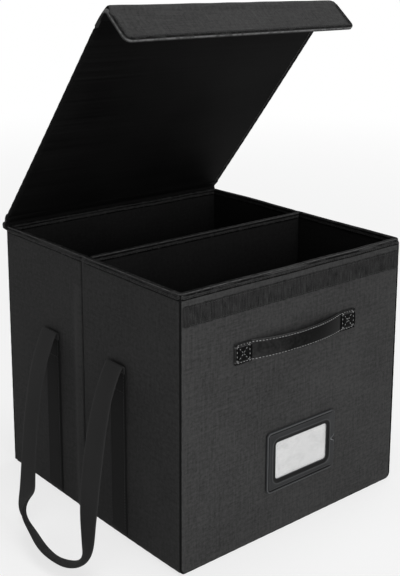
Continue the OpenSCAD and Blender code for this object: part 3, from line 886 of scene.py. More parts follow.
# Seam beads: a U round the edge of each end wall, and one along each lower side
def seamBeads():
    made = Surface()
    inset = walls["beadIn"]
    x, z, top = halfWidth - inset, inset, rimTop - 3 * mm
    for y, corner in ((-halfDepth + inset, walls["frontRound"]), (halfDepth - inset, walls["backRound"])):
        r = corner - inset
        turn = np.radians(np.linspace(180, 270, 9))
        half = np.concatenate([
            straight((-x, top), (-x, z + r + 1 * mm), 90),
            np.stack([-x + r + r * np.cos(turn), z + r + r * np.sin(turn)], axis=-1),
            straight((-x + r + 2 * mm, z), (0, z), 60)])
        outline = np.concatenate([half, (half * (-1, 1))[::-1][1:]])
        path = np.stack([outline[:, 0], np.full(len(outline), y), outline[:, 1]], axis=-1)
        first = np.broadcast_to(yAxis, path.shape)
        cordTube(made, path, first, np.cross(waysAlong(path), first), beadRadius)
    for way in (-1, 1):
        y = np.linspace(-halfDepth + 3 * mm, halfDepth - 3 * mm, 120)
        tuck = bottomTuck(np.full(120, inset), y)
        path = np.stack([way * (x - tuck), y, np.full(120, z)], axis=-1)
        cordTube(made, path, repeated(xAxis, 120), repeated(zAxis, 120), beadRadius)
    made.piece("seamBeads", [cordFinish], "case", "seam_bead", ("corner_beads", "bottom_bead"))


seamBeads()


def squarer(values, power):  # a power of a sine's size, with its sign kept
    return np.sign(values) * np.abs(values) ** power


# Rim tape: a folded tape carried round the top of the walls, with its two rows
# of stitches. Its section is a flattened half ellipse with an inner return.
def foldedTape(spread, drop, thick, lines=(), count=41):
    turn = np.linspace(0, math.pi, count)
    cosine, sine = np.cos(turn), np.sin(turn)
    side, height = squarer(cosine, 0.32), squarer(sine, 0.42)
    outer = np.stack([spread * side, drop * (height - 1)], axis=-1)
    inner = np.stack([(spread - thick) * side, (drop - thick) * height - drop], axis=-1)
    for below, depth, wide in lines:  # sewn lines press in
        outer[:, 0] *= 1 - depth / spread * np.exp(-((outer[:, 1] + below) / wide) ** 2)
    return np.concatenate([outer, inner[::-1]])


# Painted light on the tape: a painted highlight along its outer top edge, and
# painted shade on its top, along its lower edge and in its sewn lines; the inner top edge has a tone of its
# own
def tapeLightAndShade(section, spread, drop, lines, outerEdge=0.36, innerEdge=-0.1, top=-0.2):
    side, height = section[:, 0] / spread, section[:, 1]
    edgeBand = np.exp(-((height + 0.5 * mm) / (0.55 * mm)) ** 2) * np.clip((np.abs(side) - 0.66) / 0.2, 0, 1)
    tone = np.where(side > 0, outerEdge, innerEdge) * edgeBand
    tone = tone + top * np.clip((0.75 - np.abs(side)) / 0.15, 0, 1)
    tone = tone - 0.35 * np.exp(-((height + drop) / (0.5 * mm)) ** 2)
    for below, depth, wide in lines:
        tone = tone - depth / (0.9 * mm) * np.exp(-((height + below) / wide) ** 2)
    return tone[None, :]


tape = {
    "corner": 3.4 * mm,  # radius of its middle line at the case's corners
    "wander": 0.14 * mm,  # how far it lies out and in along the rim
    "dip": 0.9 * mm,  # how far it lies in where a side folds
    "stitchUp": 1.9 * mm,  # from its lower edge up to its stitches
    # Sewn lines: distance below the top, depth and width
    "lines": ((2.7 * mm, 0.45 * mm, 0.75 * mm), (6.1 * mm, 0.22 * mm, 0.6 * mm)),
}


def rimBand():
    low, high = cadCorners("front_binding", "back_binding", "left_binding", "right_binding")
    drop = high[2] - low[2]
    middle = wallThick / 2
    spread = high[0] - (halfWidth - middle)
    outline, outs = roundOutline(halfWidth - middle, halfDepth - middle, tape["corner"], 2.0 * mm)
    run = runLength(outline, True)
    wave = swell(run[:-1], 0 * run[:-1], 31, 46 * mm, tape["wander"])
    lift = swell(run[:-1], 0 * run[:-1], 32, 120 * mm, 0.25 * mm) - 0.25 * mm
    # The tape dips in where a side folds
    sideways = np.abs(outline[:, 0]) > halfWidth - 2 * middle
    dip = tape["dip"] * np.exp(-((outline[:, 1] - foldMiddle) / (5 * mm)) ** 2) * sideways
    path = np.column_stack([outline + outs * (wave - dip)[:, None], high[2] + lift])
    outs3 = np.column_stack([outs, np.zeros(len(outs))])
    ups = np.broadcast_to(zAxis, outs3.shape)
    section = foldedTape(spread, drop, cadCorners("front_binding")[1][2] - wallHigh[2], tape["lines"])
    pinch = 1 - 0.035 * (0.5 + 0.5 * np.cos(math.tau * run[:-1] / (3.6 * mm)))
    profile = section[None] * np.stack([pinch, np.ones_like(pinch)], axis=-1)[:, None, :]
    tone = tapeLightAndShade(section, spread, drop, tape["lines"])
    made = Surface()
    made.grid(carry(path, outs3, ups, profile), clothPlan(run, runLength(section, True)), True, True, 0, tone)
    made.piece("rimTape", [rimTape], "case", "edge_tape",
               ("front_binding", "back_binding", "left_binding", "right_binding"))
    sewn = Surface()
    for way in (-1, 1):
        row = path + way * outs3 * (spread - 0.05 * mm) - zAxis * (drop - tape["stitchUp"])
        stitchRow(sewn, np.vstack([row, row[:1]]), np.vstack([way * outs3, way * outs3[:1]]))
    sewn.piece("rimStitches", [darkThread], "case", "edge_tape")


rimBand()


# A straight run of folded tape over the edge of a panel
def edgeTape(target, start, end, outAxis, topAxis, spread, drop, thick, count):
    path = straight(start, end, count)
    run = runLength(path)
    section = foldedTape(spread, drop, thick, tape["lines"])
    closing = np.clip(np.minimum(run, run[-1] - run) / (0.8 * mm), 0.55, 1)
    profile = section[None] * np.stack([closing, np.ones(count)], axis=-1)[:, None, :]
    points = carry(path, repeated(outAxis, count), repeated(topAxis, count), profile)
    tone = tapeLightAndShade(section, spread, drop, tape["lines"], 0.3, 0.3)
    target.grid(points, clothPlan(run, runLength(section, True)), False, True, 0, tone)


panels = {  # heights of the long waves in the flat panels
    "bottom": 0.12 * mm,
    "base": 0.08 * mm,
    "divider": 0.12 * mm,
}


# Bottom, base and divider: slabs of their nodes' sizes with faint long waves, and
# the divider's tape
def flatPanels():
    low, high = cadCorners("bottom_cloth")
    shape = slab(high[0] - low[0], high[1] - low[1], high[2] - low[2], (60, 60))
    made = Surface()
    origin = ((low[0] + high[0]) / 2, low[1], (low[2] + high[2]) / 2)
    waves = swell(shape["a"], shape["b"], 41, 130 * mm, panels["bottom"])
    points = placeSlab(shape, origin, xAxis, yAxis, zAxis, waves)
    points[..., 2] = np.maximum(points[..., 2], 0)
    made.grid(points, shape["uv"], True, False, 0)
    made.piece("bottomCloth", [liningCloth], "case", "lining_cloth", ("bottom_cloth",))

    low, high = cadCorners("base_cover")
    shape = slab(high[0] - low[0], high[1] - low[1], high[2] - low[2], (70, 70), (2 * mm, 2 * mm))
    made = Surface()
    origin = ((low[0] + high[0]) / 2, low[1], (low[2] + high[2]) / 2)
    puff = -0.1 * mm + swell(shape["a"], shape["b"], 42, 110 * mm, panels["base"])
    made.grid(placeSlab(shape, origin, xAxis, yAxis, zAxis, 0.0, puff), shape["uv"], True, False, 0,
              edgeWearAndHighlight(shape, most=0.4))
    made.piece("baseBoardCover", [liningCloth], "base", "lining_cloth", ("base_cover",))

    low, high = cadCorners("divider_cover")
    middleY = (low[1] + high[1]) / 2
    shape = slab(high[0] - low[0], high[2] - low[2], high[1] - low[1], (90, 80), (3 * mm, 0.0))
    made = Surface()
    bow = swell(shape["a"], shape["b"], 43, 260 * mm, panels["divider"])
    made.grid(placeSlab(shape, (0, middleY, low[2]), xAxis, zAxis, -yAxis, bow), shape["uv"],
              True, False, 0, edgeWearAndHighlight(shape, most=0.3))
    made.piece("dividerCover", [liningCloth], "divider", "lining_cloth", ("divider_cover",))

    tapeLow, tapeHigh = cadCorners("divider_binding")
    made = Surface()
    spread = (tapeHigh[1] - tapeLow[1]) / 2
    edgeTape(made, (tapeLow[0], middleY, tapeHigh[2]), (tapeHigh[0], middleY, tapeHigh[2]), yAxis, zAxis,
             spread, tapeHigh[2] - tapeLow[2], 0.7 * mm, 170)
    made.piece("dividerTape", [rimTape], "divider", "edge_tape", ("divider_binding",))
    sewn = Surface()
    for way in (-1, 1):
        y = middleY + way * (spread - 0.05 * mm)
        z = tapeLow[2] + tape["stitchUp"]
        line = straight((tapeLow[0] + 3 * mm, y, z), (tapeHigh[0] - 3 * mm, y, z))
        stitchRow(sewn, line, repeated(way * yAxis, len(line)))
    sewn.piece("dividerStitches", [darkThread], "divider", "edge_tape")


flatPanels()
print("rim, bottom and divider made")


# Places given in the axes of the lid and of the flap
def placed(origin, way, out, x, s, t):
    x, s, t = (np.asarray(value)[..., None] for value in (x, s, t))
    return origin + x * xAxis + s * way + t * out


def inLid(x, s, t):
    return placed(hingeAt, lidWay, lidOut, x, s, t)


def inFlap(x, s, t):
    return placed(flapAt, flapWay, flapOut, x, s, t)


lid = {
    "halfWidth": cadCorners("lid_beads")[1][0],
    "start": 4.0 * mm,  # from the fold line to the stiff part
    "end": lidLength - 9.0 * mm,
    "thick": wallThick,
    "edge": 2.0 * mm,  # radius of the bead down each side
    "sag": 1.2 * mm,
    "twist": 1.1 * mm,
    "foldRound": 3.6 * mm,  # radius of the cloth's round at the fold line
    "foldHang": 2.6 * mm,  # how far that slack cloth hangs below the fold line
    "foldIn": 9.0 * mm,  # how far it is drawn in at both ends
}


def lidBend(x, s):  # the lid hangs a little hollow, and twists
    u, v = x / lid["halfWidth"], s / lidLength
    hollow = lid["sag"] * np.sin(math.pi * np.clip(v, 0, 1)) * (1 - 0.35 * u ** 2)
    return -hollow - lid["twist"] * u * v * (1 - v)


# Lid: a covered board with a bead down each side. The panel is a slab that bends
# with the lid, whose faces puff out in long waves and in gathers along its rim.
def lidPanel():
    width = 2 * (lid["halfWidth"] - lid["edge"] * 1.2)
    length = lid["end"] - lid["start"]
    shape = slab(width, length, lid["thick"], (110, 110))
    x, s = -shape["a"], shape["b"] + lid["start"]
    bend = lidBend(x, s)
    fine = swell(x, s, 51, 120 * mm, 0.22 * mm)
    seam = gathers(s, shape["edge"], 9 * mm, 0.16 * mm, 4 * mm)
    t = shape["n"] + bend + (fine + seam) * shape["side"]
    made = Surface()
    made.grid(inLid(x, s, t), shape["uv"], True, False, shape["inner"], edgeWearAndHighlight(shape, 3 * mm, 0.5))
    made.piece("lidPanel", [frontCloth, lidLining], "lid", "front_cloth", ("lid_cover",))

    low, high = cadCorners("lid_board")  # the board inside bends with it
    made = Surface()
    board = slab(high[0] - low[0] - 4 * mm, length - 4 * mm, lid["thick"] - 1.2 * mm, (40, 40))
    x, s = -board["a"], board["b"] + lid["start"] + 2 * mm
    made.grid(inLid(x, s, board["n"] + lidBend(x, s)), board["uv"], True, False, 0)
    made.piece("lidBoard", [boardFinish], "lid", "board", ("lid_board",))

    made = Surface()
    for way in (-1, 1):
        s = np.linspace(lid["start"] + 1 * mm, lid["end"] - 20 * mm, 150)
        x = np.full(len(s), way * (lid["halfWidth"] - lid["edge"]))
        path = inLid(x, s, lidBend(x, s))
        cordTube(made, path, repeated(xAxis, len(s)), repeated(lidOut, len(s)), lid["edge"])
    made.piece("lidBeads", [cordFinish], "lid", "seam_bead", ("lid_beads",))

    for way, face, finish in ((-1, 1, darkThread), (1, 1, darkThread), (1, -1, greyThread)):
        s = np.linspace(lid["start"] + 6 * mm, lid["end"] - 5 * mm, 60)
        x = np.full(len(s), way * (lid["halfWidth"] - 8.5 * mm))
        line = inLid(x, s, lidBend(x, s) + face * (lid["thick"] / 2 + 0.05 * mm))
        sewn = Surface()
        stitchRow(sewn, line, repeated(face * lidOut, len(s)), 3.2 * mm, 0.9, 0.35 * mm)
        name = f"lidStitches{'Left' if way < 0 else 'Right'}{'Over' if face > 0 else 'Under'}"
        sewn.piece(name, [finish], "lid", "front_cloth")


lidPanel()


# Folds: a strip of cloth whose section is a smoothed line in y and z with a
# thickness, carried along x and narrowing to nothing at both ends. Its ends can
# be drawn in, and its cloth lifted, by amounts that follow the section.
def clothFold(name, line, thick, halfX, finishes, slot, stands, seed,
              drawnIn=lambda run: 0 * run, lift=lambda x, run: 0 * x * run):
    line = np.asarray(line, float)
    run = runLength(line)
    fineRun = np.linspace(0, run[-1], 46)
    smooth = evenly(fineRun, run, line)
    for _ in range(3):
        smooth[1:-1] = (smooth[:-2] + 2 * smooth[1:-1] + smooth[2:]) / 4
    along = waysAlong(smooth)
    across = np.stack([-along[:, 1], along[:, 0]], axis=-1)
    fromEnd = np.minimum(fineRun, fineRun[-1] - fineRun)
    taper = np.sqrt(np.clip(fromEnd / (1.2 * mm), 0.02, 1))[:, None] * thick / 2
    loop = np.concatenate([smooth + across * taper, (smooth - across * taper)[::-1]])
    count = 130
    x = eased(-halfX, halfX, count, 0.3)
    ends = np.sqrt(np.clip((halfX - np.abs(x)) / (1.5 * mm), 0, 1))
    centre = np.concatenate([smooth, smooth[::-1]])
    section = centre[None] + (loop - centre)[None] * ends[:, None, None]
    ripple = swell(x[:, None], centre[None, :, 1] * 3, seed, 60 * mm, 0.16 * mm)
    lifted = lift(x[:, None], fineRun[None, :])
    ripple = ripple - np.concatenate([lifted, lifted[:, ::-1]], axis=1)
    points = np.empty((count, len(loop), 3))
    drawn = drawnIn(np.concatenate([fineRun, fineRun[::-1]]))
    points[..., 0] = x[:, None] * (1 - drawn / halfX)[None, :]
    points[..., 1:] = section + ripple[..., None] * np.concatenate([across, across[::-1]])[None]
    around = np.concatenate([fineRun, fineRun[-1] + fineRun, [2 * fineRun[-1] + thick]])
    slots = np.zeros((count - 1, len(loop)), int)
    slots[:, len(smooth):] = len(finishes) - 1
    made = Surface()
    made.grid(points, clothPlan(x, around), False, True, slots)
    piece = made.piece(name, finishes, None, slot, stands)
    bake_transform(piece)


def lidFold():
    y, z = hingeAt[1], hingeAt[2]
    radius = lid["foldRound"]
    low = cadCorners("hinge_strip")[0][2]
    z = z - lid["foldHang"]
    stripY = halfDepth + 1.3 * mm
    lean = math.atan2(lidWay[2], -lidWay[1])
    turn = np.linspace(0, math.pi - lean, 12)  # from straight up round to the lid's slope
    arc = np.stack([y + radius * np.cos(turn), z + radius * np.sin(turn)], axis=-1)
    reach = inLid(0.0, np.array([9.0, 15.0]) * mm, np.array([2.4, 2.2]) * mm)[:, 1:]
    rise = [(stripY, low), (stripY, z - 11 * mm), (y + radius - 1.0 * mm, z - 4.5 * mm)]
    line = np.concatenate([rise, arc, reach])
    clothFold("lidFold", line, 1.1 * mm, lid["halfWidth"], [frontCloth],
              "front_cloth",
              ("hinge_strip", "hinge_fold"), 61,
              lambda run: lid["foldIn"] * (1 - np.clip((run - 22 * mm) / (9 * mm), 0, 1)))
    # The lining of the same fold, from inside the rim up to the lid's inner face
    inside = inLid(0.0, np.array([2.0, 9.0, 14.0]) * mm, np.array([-1.2, -2.6, -2.9]) * mm)[:, 1:]
    rise = [(halfDepth - 0.5 * mm, rimTop - 1.0 * mm), (halfDepth + 1.2 * mm, rimTop + 0.9 * mm)]
    line = np.concatenate([rise, inside])
    clothFold("lidFoldLining", line, 0.8 * mm, lid["halfWidth"] - 1.5 * mm, [lidLining],
              "front_cloth", (), 62)
    sewn = Surface()
    x = np.array([-1, 1]) * (halfWidth - 12 * mm)
    line = straight((x[0], stripY + 0.6 * mm, low + 3 * mm), (x[1], stripY + 0.6 * mm, low + 3 * mm))
    stitchRow(sewn, line, repeated(yAxis, len(line)), 4 * mm)
    sewn.piece("lidFoldStitches", [darkThread], "case", "front_cloth")


lidFold()


# Flap: a covered board with round outer corners, and an edge tape with one row of
# stitches on each face
flap = {
    "halfWidth": cadCorners("flap_bead")[1][0],
    "start": 9.0 * mm,  # from the fold line to the stiff part
    "length": 52.0 * mm,
    "thick": 4.0 * mm,
    "corner": 9.0 * mm,
    "tapeWidth": 6.0 * mm,
    "foldRound": 6.4 * mm,  # from the fold's corner in to the middle of its round
    "lift": 3.2 * mm,  # how far the fold's cloth stands up at its left end
    "foldIn": 6.0 * mm,  # how far the soft cloth draws in at both ends of the fold
    "cord": 2.2 * mm,  # radius of the cord at both ends of the fold
    "cordIn": 0.35,  # share of the drawing in that the cord follows
}


def flapBend(x, s):
    return swell(x, 0 * x, 71, 240 * mm, 0.35 * mm) * np.clip(s / flap["length"], 0, 1)


# The panel is a slab that bends with the flap, under gathers along its free edge
def flapPanel():
    inset = 1.0 * mm
    width, length = 2 * (flap["halfWidth"] - inset), flap["length"] - flap["start"] - inset
    shape = slab(width, length, flap["thick"] - 0.4 * mm, (130, 34), (0.0, flap["corner"] - inset))
    x, s = -shape["a"], shape["b"] + flap["start"]
    fine = swell(x, s, 72, 70 * mm, 0.1 * mm)
    fine = fine + gathers(x, flap["length"] - 7 * mm - s, 8 * mm, 0.1 * mm, 5 * mm)
    made = Surface()
    t = shape["n"] + flapBend(x, s) + fine * shape["side"]
    made.grid(inFlap(x, s, t), shape["uv"], True, False, shape["inner"])
    made.piece("flapPanel", [frontCloth, lidLining], "flap", "front_cloth", ("flap_cover",))

    # Tape carried down one end, round the corners and along the free edge
    half, far, r = flap["halfWidth"] - 0.2 * mm, flap["length"] - 0.2 * mm, flap["corner"]
    turn = np.linspace(0, math.pi / 2, 12)
    sideLine = straight((-half, flap["start"]), (-half, far - r), 16)
    corner = np.stack([-half + r - r * np.cos(turn), far - r + r * np.sin(turn)], axis=-1)
    outline = np.concatenate([sideLine[:-1], corner, straight((-half + r, far), (0, far), 60)[1:]])
    outline = np.concatenate([outline, (outline * (-1, 1))[::-1][1:]])
    along = waysAlong(outline)
    outs = np.stack([-along[:, 1], along[:, 0]], axis=-1)
    bend = flapBend(outline[:, 0], outline[:, 1])
    path = inFlap(outline[:, 0], outline[:, 1], bend)
    outs3 = outs[:, :1] * xAxis + outs[:, 1:] * flapWay
    tapeHalf, lines = flap["thick"] / 2 + 0.25 * mm, ((4.6 * mm, 0.4 * mm, 0.9 * mm),)
    section = foldedTape(tapeHalf, flap["tapeWidth"], 0.5 * mm, lines)
    uv = clothPlan(runLength(outline), runLength(section, True))
    profile = np.broadcast_to(section[None], (len(path),) + section.shape)
    made = Surface()
    # Painted highlight along the rim on the outer face's side, painted shade just inside it
    side, height = section[:, 0] / tapeHalf, section[:, 1]
    paintedLight = np.exp(-((side - 0.45) / 0.4) ** 2) * (height > -0.8 * mm)
    tone = (1.15 * (paintedLight - 0.03) - 0.2 * np.exp(-((height + 2.4 * mm) / (1.3 * mm)) ** 2))[None, :]
    made.grid(carry(path, repeated(flapOut, len(path)), outs3, profile), uv, False, True, 0, tone)
    made.piece("flapTape", [rimTape], "flap", "edge_tape", ("flap_bead",))
    sewn = Surface()
    for face in (-1, 1):
        row = path - outs3 * (flap["tapeWidth"] - 1.6 * mm) + face * flapOut * tapeHalf
        stitchRow(sewn, row, repeated(face * flapOut, len(row)), 3.4 * mm)
    sewn.piece("flapStitches", [darkThread], "flap", "edge_tape")

    # The lid's edge bead goes on round the fold into the flap's tape
    made = Surface()
    inside = flap["foldRound"]
    for way in (-1, 1):
        turn = np.linspace(math.pi / 2, 0, 16)[:, None]
        curve = flapAt + lidWay * (np.cos(turn) - 1) * inside + lidOut * (np.sin(turn) - 1) * inside
        before = inLid(0.0, lidLength - np.array([30.0, 26.0, 21.0, 17.0, 13.0, 9.0]) * mm, np.zeros(6))
        after = straight(curve[-1], inFlap(0.0, 11 * mm, 0.0), 8)[1:]
        path = np.concatenate([before, curve, after])
        run = runLength(path)
        corner = np.exp(-((run - 26 * mm) / (9 * mm)) ** 2)
        out = lid["halfWidth"] - lid["edge"] - flap["cordIn"] * flap["foldIn"] * corner
        path = path + way * out[:, None] * xAxis
        first = np.broadcast_to(xAxis, path.shape)
        tone = 0.75 * (run > 24 * mm)[:, None]  # painted highlight from the round of the fold on
        cordTube(made, path, first, np.cross(waysAlong(path), first), flap["cord"], wear=tone)
    bead = made.piece("flapFoldBeads", [rimTape], None, "seam_bead")
    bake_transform(bead)

    # Outer cloth: an arc whose middle lies inside the corner, from face to face
    radius = inside + 2.5 * mm
    turn = np.linspace(math.pi / 2, 0, 16)
    arc = np.stack([radius * np.cos(turn) - inside, radius * np.sin(turn) - inside], axis=-1)
    points = (arc[:, :1] * lidWay + arc[:, 1:] * lidOut)[:, 1:] + flapAt[1:]
    before = inLid(0.0, lidLength - np.array([33.0, 27.0, 21.0, 14.0, 9.0]) * mm,
                   np.array([0.9, 1.3, 1.7, 2.1, 2.4]) * mm)
    after = inFlap(0.0, np.array([9.0, 13.0, 18.0]) * mm, np.array([1.9, 1.4, 0.8]) * mm)

    def drawnIn(run):
        return 0.6 * mm + flap["foldIn"] * np.exp(-((run - 30 * mm) / (8 * mm)) ** 2)

    def lift(x, run):  # most at the left end of the fold
        return flap["lift"] * (0.55 + 0.45 * x / x.min()) * np.exp(-((run - 31 * mm) / (9 * mm)) ** 2)

    clothFold("flapFold", np.concatenate([before[:, 1:], points, after[:, 1:]]), 0.9 * mm,
              flap["halfWidth"] - 0.8 * mm, [frontCloth],
              "front_cloth", ("flap_fold",), 73, drawnIn, lift)
    inside = inLid(0.0, lidLength - np.array([16.0, 9.0, 5.0]) * mm, np.array([-2.7, -2.8, -3.2]) * mm)
    under = inFlap(0.0, np.array([5.5, 9.0, 14.0]) * mm, np.array([-3.0, -2.2, -1.8]) * mm)
    clothFold("flapFoldLining", np.concatenate([inside[:, 1:], under[:, 1:]]), 0.7 * mm,
              flap["halfWidth"] - 1 * mm, [lidLining], "front_cloth", (), 74)


flapPanel()
print("lid and flap made")


fastener = {
    "endGap": 3.2 * mm,  # from the case's corner to the end of the loop strip
    "ragged": 0.45 * mm,  # how far the long edges wander
    "rowIn": 1.8 * mm,  # from a long edge in to its stitches
    "stitches": (3.2 * mm, 0.78, 0.24 * mm),  # pitch, share of it that shows, radius
}


# Fastener strips: thin slabs whose long edges are ragged by short waves
def fastenerStrips():
    low, high = cadCorners("loop_strip")
    tall = high[2] - low[2]
    strips = (("loopStrip", "loop_strip", pileFinish), ("hookStrip", "hook_strip", hookFinish))
    for name, node, finish in strips:
        wide = 2 * (halfWidth - fastener["endGap"]) if node == "loop_strip" else high[0] - low[0]
        shape = slab(wide, tall, high[1] - low[1], (260, 26), (1.2 * mm, 1.2 * mm))
        a, b = shape["a"], shape["b"]
        ragged = swell(a, 0 * a, 81, 6 * mm, fastener["ragged"]) * np.abs(2 * b / tall - 1) ** 6
        b = b + ragged * np.sign(b - tall / 2)
        puff = swell(a, b * 0.3, 82, 14 * mm, 0.1 * mm)
        made = Surface()
        if node == "loop_strip":
            origin = (low + high) / 2 * (1, 1, 0) + (0, 0, low[2])
            points = placeSlab(dict(shape, b=b), origin, xAxis, zAxis, -yAxis, 0.0, puff)
            body = "case"
        else:
            start = hingeAt[2] - high[2]  # the closed flap brings this strip over the other
            depth = -flap["thick"] / 2 - (high[1] - low[1]) / 2 - 0.1 * mm
            points = inFlap(a, start + b, depth + shape["n"] + flapBend(-a, b))
            body = "flap"
        made.grid(points, shape["uv"], True, False, 0)
        made.piece(name, [finish], body, "fastener_tape", (node,))
        sewn = Surface()
        for edge in (fastener["rowIn"], tall - fastener["rowIn"]):
            x = np.linspace(low[0] + 3 * mm, high[0] - 3 * mm, 60)
            if body == "case":
                line = np.stack([x, np.full(60, low[1] - 0.05 * mm), np.full(60, low[2] + edge)], axis=-1)
                normal = -yAxis
            else:
                depth = flapBend(x, start + edge) - flap["thick"] / 2 - 1.35 * mm
                line = inFlap(x, np.full(60, start + edge), depth)
                normal = -flapOut
            stitchRow(sewn, line, repeated(normal, 60), *fastener["stitches"])
        sewn.piece(name + "Stitches", [darkThread], body, "fastener_tape")


fastenerStrips()


# Pull strap: folded faux leather, sewn in a crossed box at each end
pull = {
    "thick": 2.4 * mm,
    "pad": 25.0 * mm,  # sewn-down length at each end
    "edgeRow": 2.2 * mm,  # from a long edge in to its stitches
    "boxIn": 3.2 * mm,  # from a short edge in to the box's stitches
    "crown": 0.6 * mm,  # extra height along the middle
    "padPuff": 1.1 * mm,
    "stitches": (4.2 * mm, 0.62, 0.42 * mm),  # pitch, share of it that shows, radius
    "waist": 0.12,  # share of its width by which the middle is narrower
}


# A slab laid along a bow that falls to the wall at both pads, with valleys along
# its stitches and puffs between them
def pullStrap():
    low, high = cadCorners("pull_strap")
    middleX, middleZ = (low[0] + high[0]) / 2, (low[2] + high[2]) / 2
    length, width = high[0] - low[0], high[2] - low[2]
    thick, wall = pull["thick"], high[1]
    arch = (high[1] - low[1]) - thick
    bowHalf = length / 2 - pull["pad"]

    def bow(x):  # height of the strap's back over the wall
        return arch * (1 - np.clip(np.abs(x) / bowHalf, 0, 1) ** 2.3)

    def crown(z):
        return pull["crown"] * (1 - (2 * z / width) ** 2)

    def narrower(x):
        return 1 - pull["waist"] * np.clip(1 - (x / bowHalf) ** 2, 0, 1)

    shape = slab(length, width, thick, (300, 44), (1.5 * mm, 1.5 * mm))
    x, b = shape["a"], shape["b"] - width / 2
    outer = shape["side"] > 0
    # Puff between the stitched lines, with a valley along each of them
    fromEdge = width / 2 - pull["edgeRow"] - np.abs(b)
    valley = np.exp(-(fromEdge / (0.7 * mm)) ** 2)
    inPad = np.abs(x) > bowHalf
    px = np.abs(np.abs(x) - (length / 2 - pull["pad"] / 2))
    boxHalfX, boxHalfZ = pull["pad"] / 2 - pull["boxIn"], width / 2 - pull["edgeRow"]
    diagonal = np.abs(px / boxHalfX - np.abs(b) / boxHalfZ) * min(boxHalfX, boxHalfZ) * 0.7
    boxSide = np.abs(px - boxHalfX)
    padValley = np.exp(-(np.minimum(diagonal, boxSide) / (0.85 * mm)) ** 2) * (px < boxHalfX + 1.5 * mm)
    deep = np.maximum(valley, padValley)
    padded = (pull["padPuff"] * (1 - deep) - 0.3 * mm * deep) * inPad
    puff = np.where(outer, crown(b) - 0.45 * mm * valley * (1 - inPad) + padded, 0.0)
    n = shape["n"] + thick / 2 + bow(x) + puff
    lean = (bow(x + 0.1 * mm) - bow(x - 0.1 * mm)) / (0.2 * mm)
    points = np.stack([middleX + x - lean * shape["n"], wall - n, middleZ + b * narrower(x)], axis=-1)
    made = Surface()
    # Paler at its edges (edge wear and painted highlights), painted highlights on the puffed pads' rims, and
    # a painted reflection that pales the left part of the bow
    paintedReflection = 0.5 * np.clip((0.5 * bowHalf - x) / (1.2 * bowHalf), 0, 1) * (1 - inPad)
    padHighlights = inPad * 0.9 * np.exp(-((fromEdge - 1.4 * mm) / (0.8 * mm)) ** 2)
    tone = edgeWearAndHighlight(shape, 1.0 * mm) * 0.7 + paintedReflection + padHighlights
    made.grid(points, shape["uv"], True, False, 0, tone)
    made.piece("pullStrap", [leatherFinish], "case", "leatherette", ("pull_strap",))

    sewn = Surface()

    def sewOn(x, z):  # a row of stitches on the strap's outer face
        height = crown(z) - np.where(np.abs(x) > bowHalf, 0.22 * mm, 0.36 * mm)
        row = np.stack([middleX + x, wall - bow(x) - thick - height, middleZ + z * narrower(x)], axis=-1)
        stitchRow(sewn, row, repeated(-yAxis, len(x)), *pull["stitches"])

    for way in (-1, 1):
        x = np.linspace(-length / 2 + pull["boxIn"], length / 2 - pull["boxIn"], 200)
        sewOn(x, np.full(200, way * boxHalfZ))
        centre = way * (length / 2 - pull["pad"] / 2)
        for xa, za, xb, zb in ((-1, -1, 1, 1), (-1, 1, 1, -1), (-1, -1, -1, 1), (1, -1, 1, 1)):
            t = np.linspace(0, 1, 20)
            sewOn(centre + boxHalfX * (xa + (xb - xa) * t), boxHalfZ * (za + (zb - za) * t))
    sewn.piece("pullStitches", [paleThread], "case", "leatherette")


pullStrap()
print("fasteners and pull strap made")


# Label holder: a moulded frame round the window, with a raised bead and a groove
# on three sides, and a plain open side on the right where the card goes in
holder = {
    "corner": 6.0 * mm,
    "window": (86.0 * mm, 48.5 * mm, 5.0 * mm),  # width, height, corner radius
    "plate": 0.7 * mm,
    "slotTop": 1.72 * mm,  # from the wall out to the top of the card's slot
    "notch": (2.6 * mm, 5.2 * mm),  # half height and depth of the thumb notch
}


# Four quarter circles joined by straight sides, with the same count of points
# for any size, so that rings of different size join point to point
def ringOf(halfA, halfB, radius, perSide=26):
    middles = np.array([(1, -1), (1, 1), (-1, 1), (-1, -1)]) * (halfA - radius, halfB - radius)
    share = np.linspace(0, 1, perSide + 2)[1:-1, None]
    points = []
    for k, middle in enumerate(middles):
        turn = np.radians(np.linspace(-90, 0, 9) + 90 * k)
        arc = middle + radius * np.stack([np.cos(turn), np.sin(turn)], axis=-1)
        step = middles[(k + 1) % 4] - middle  # the straight side that follows
        points += [arc, arc[-1] + step * share]
    return np.concatenate(points)


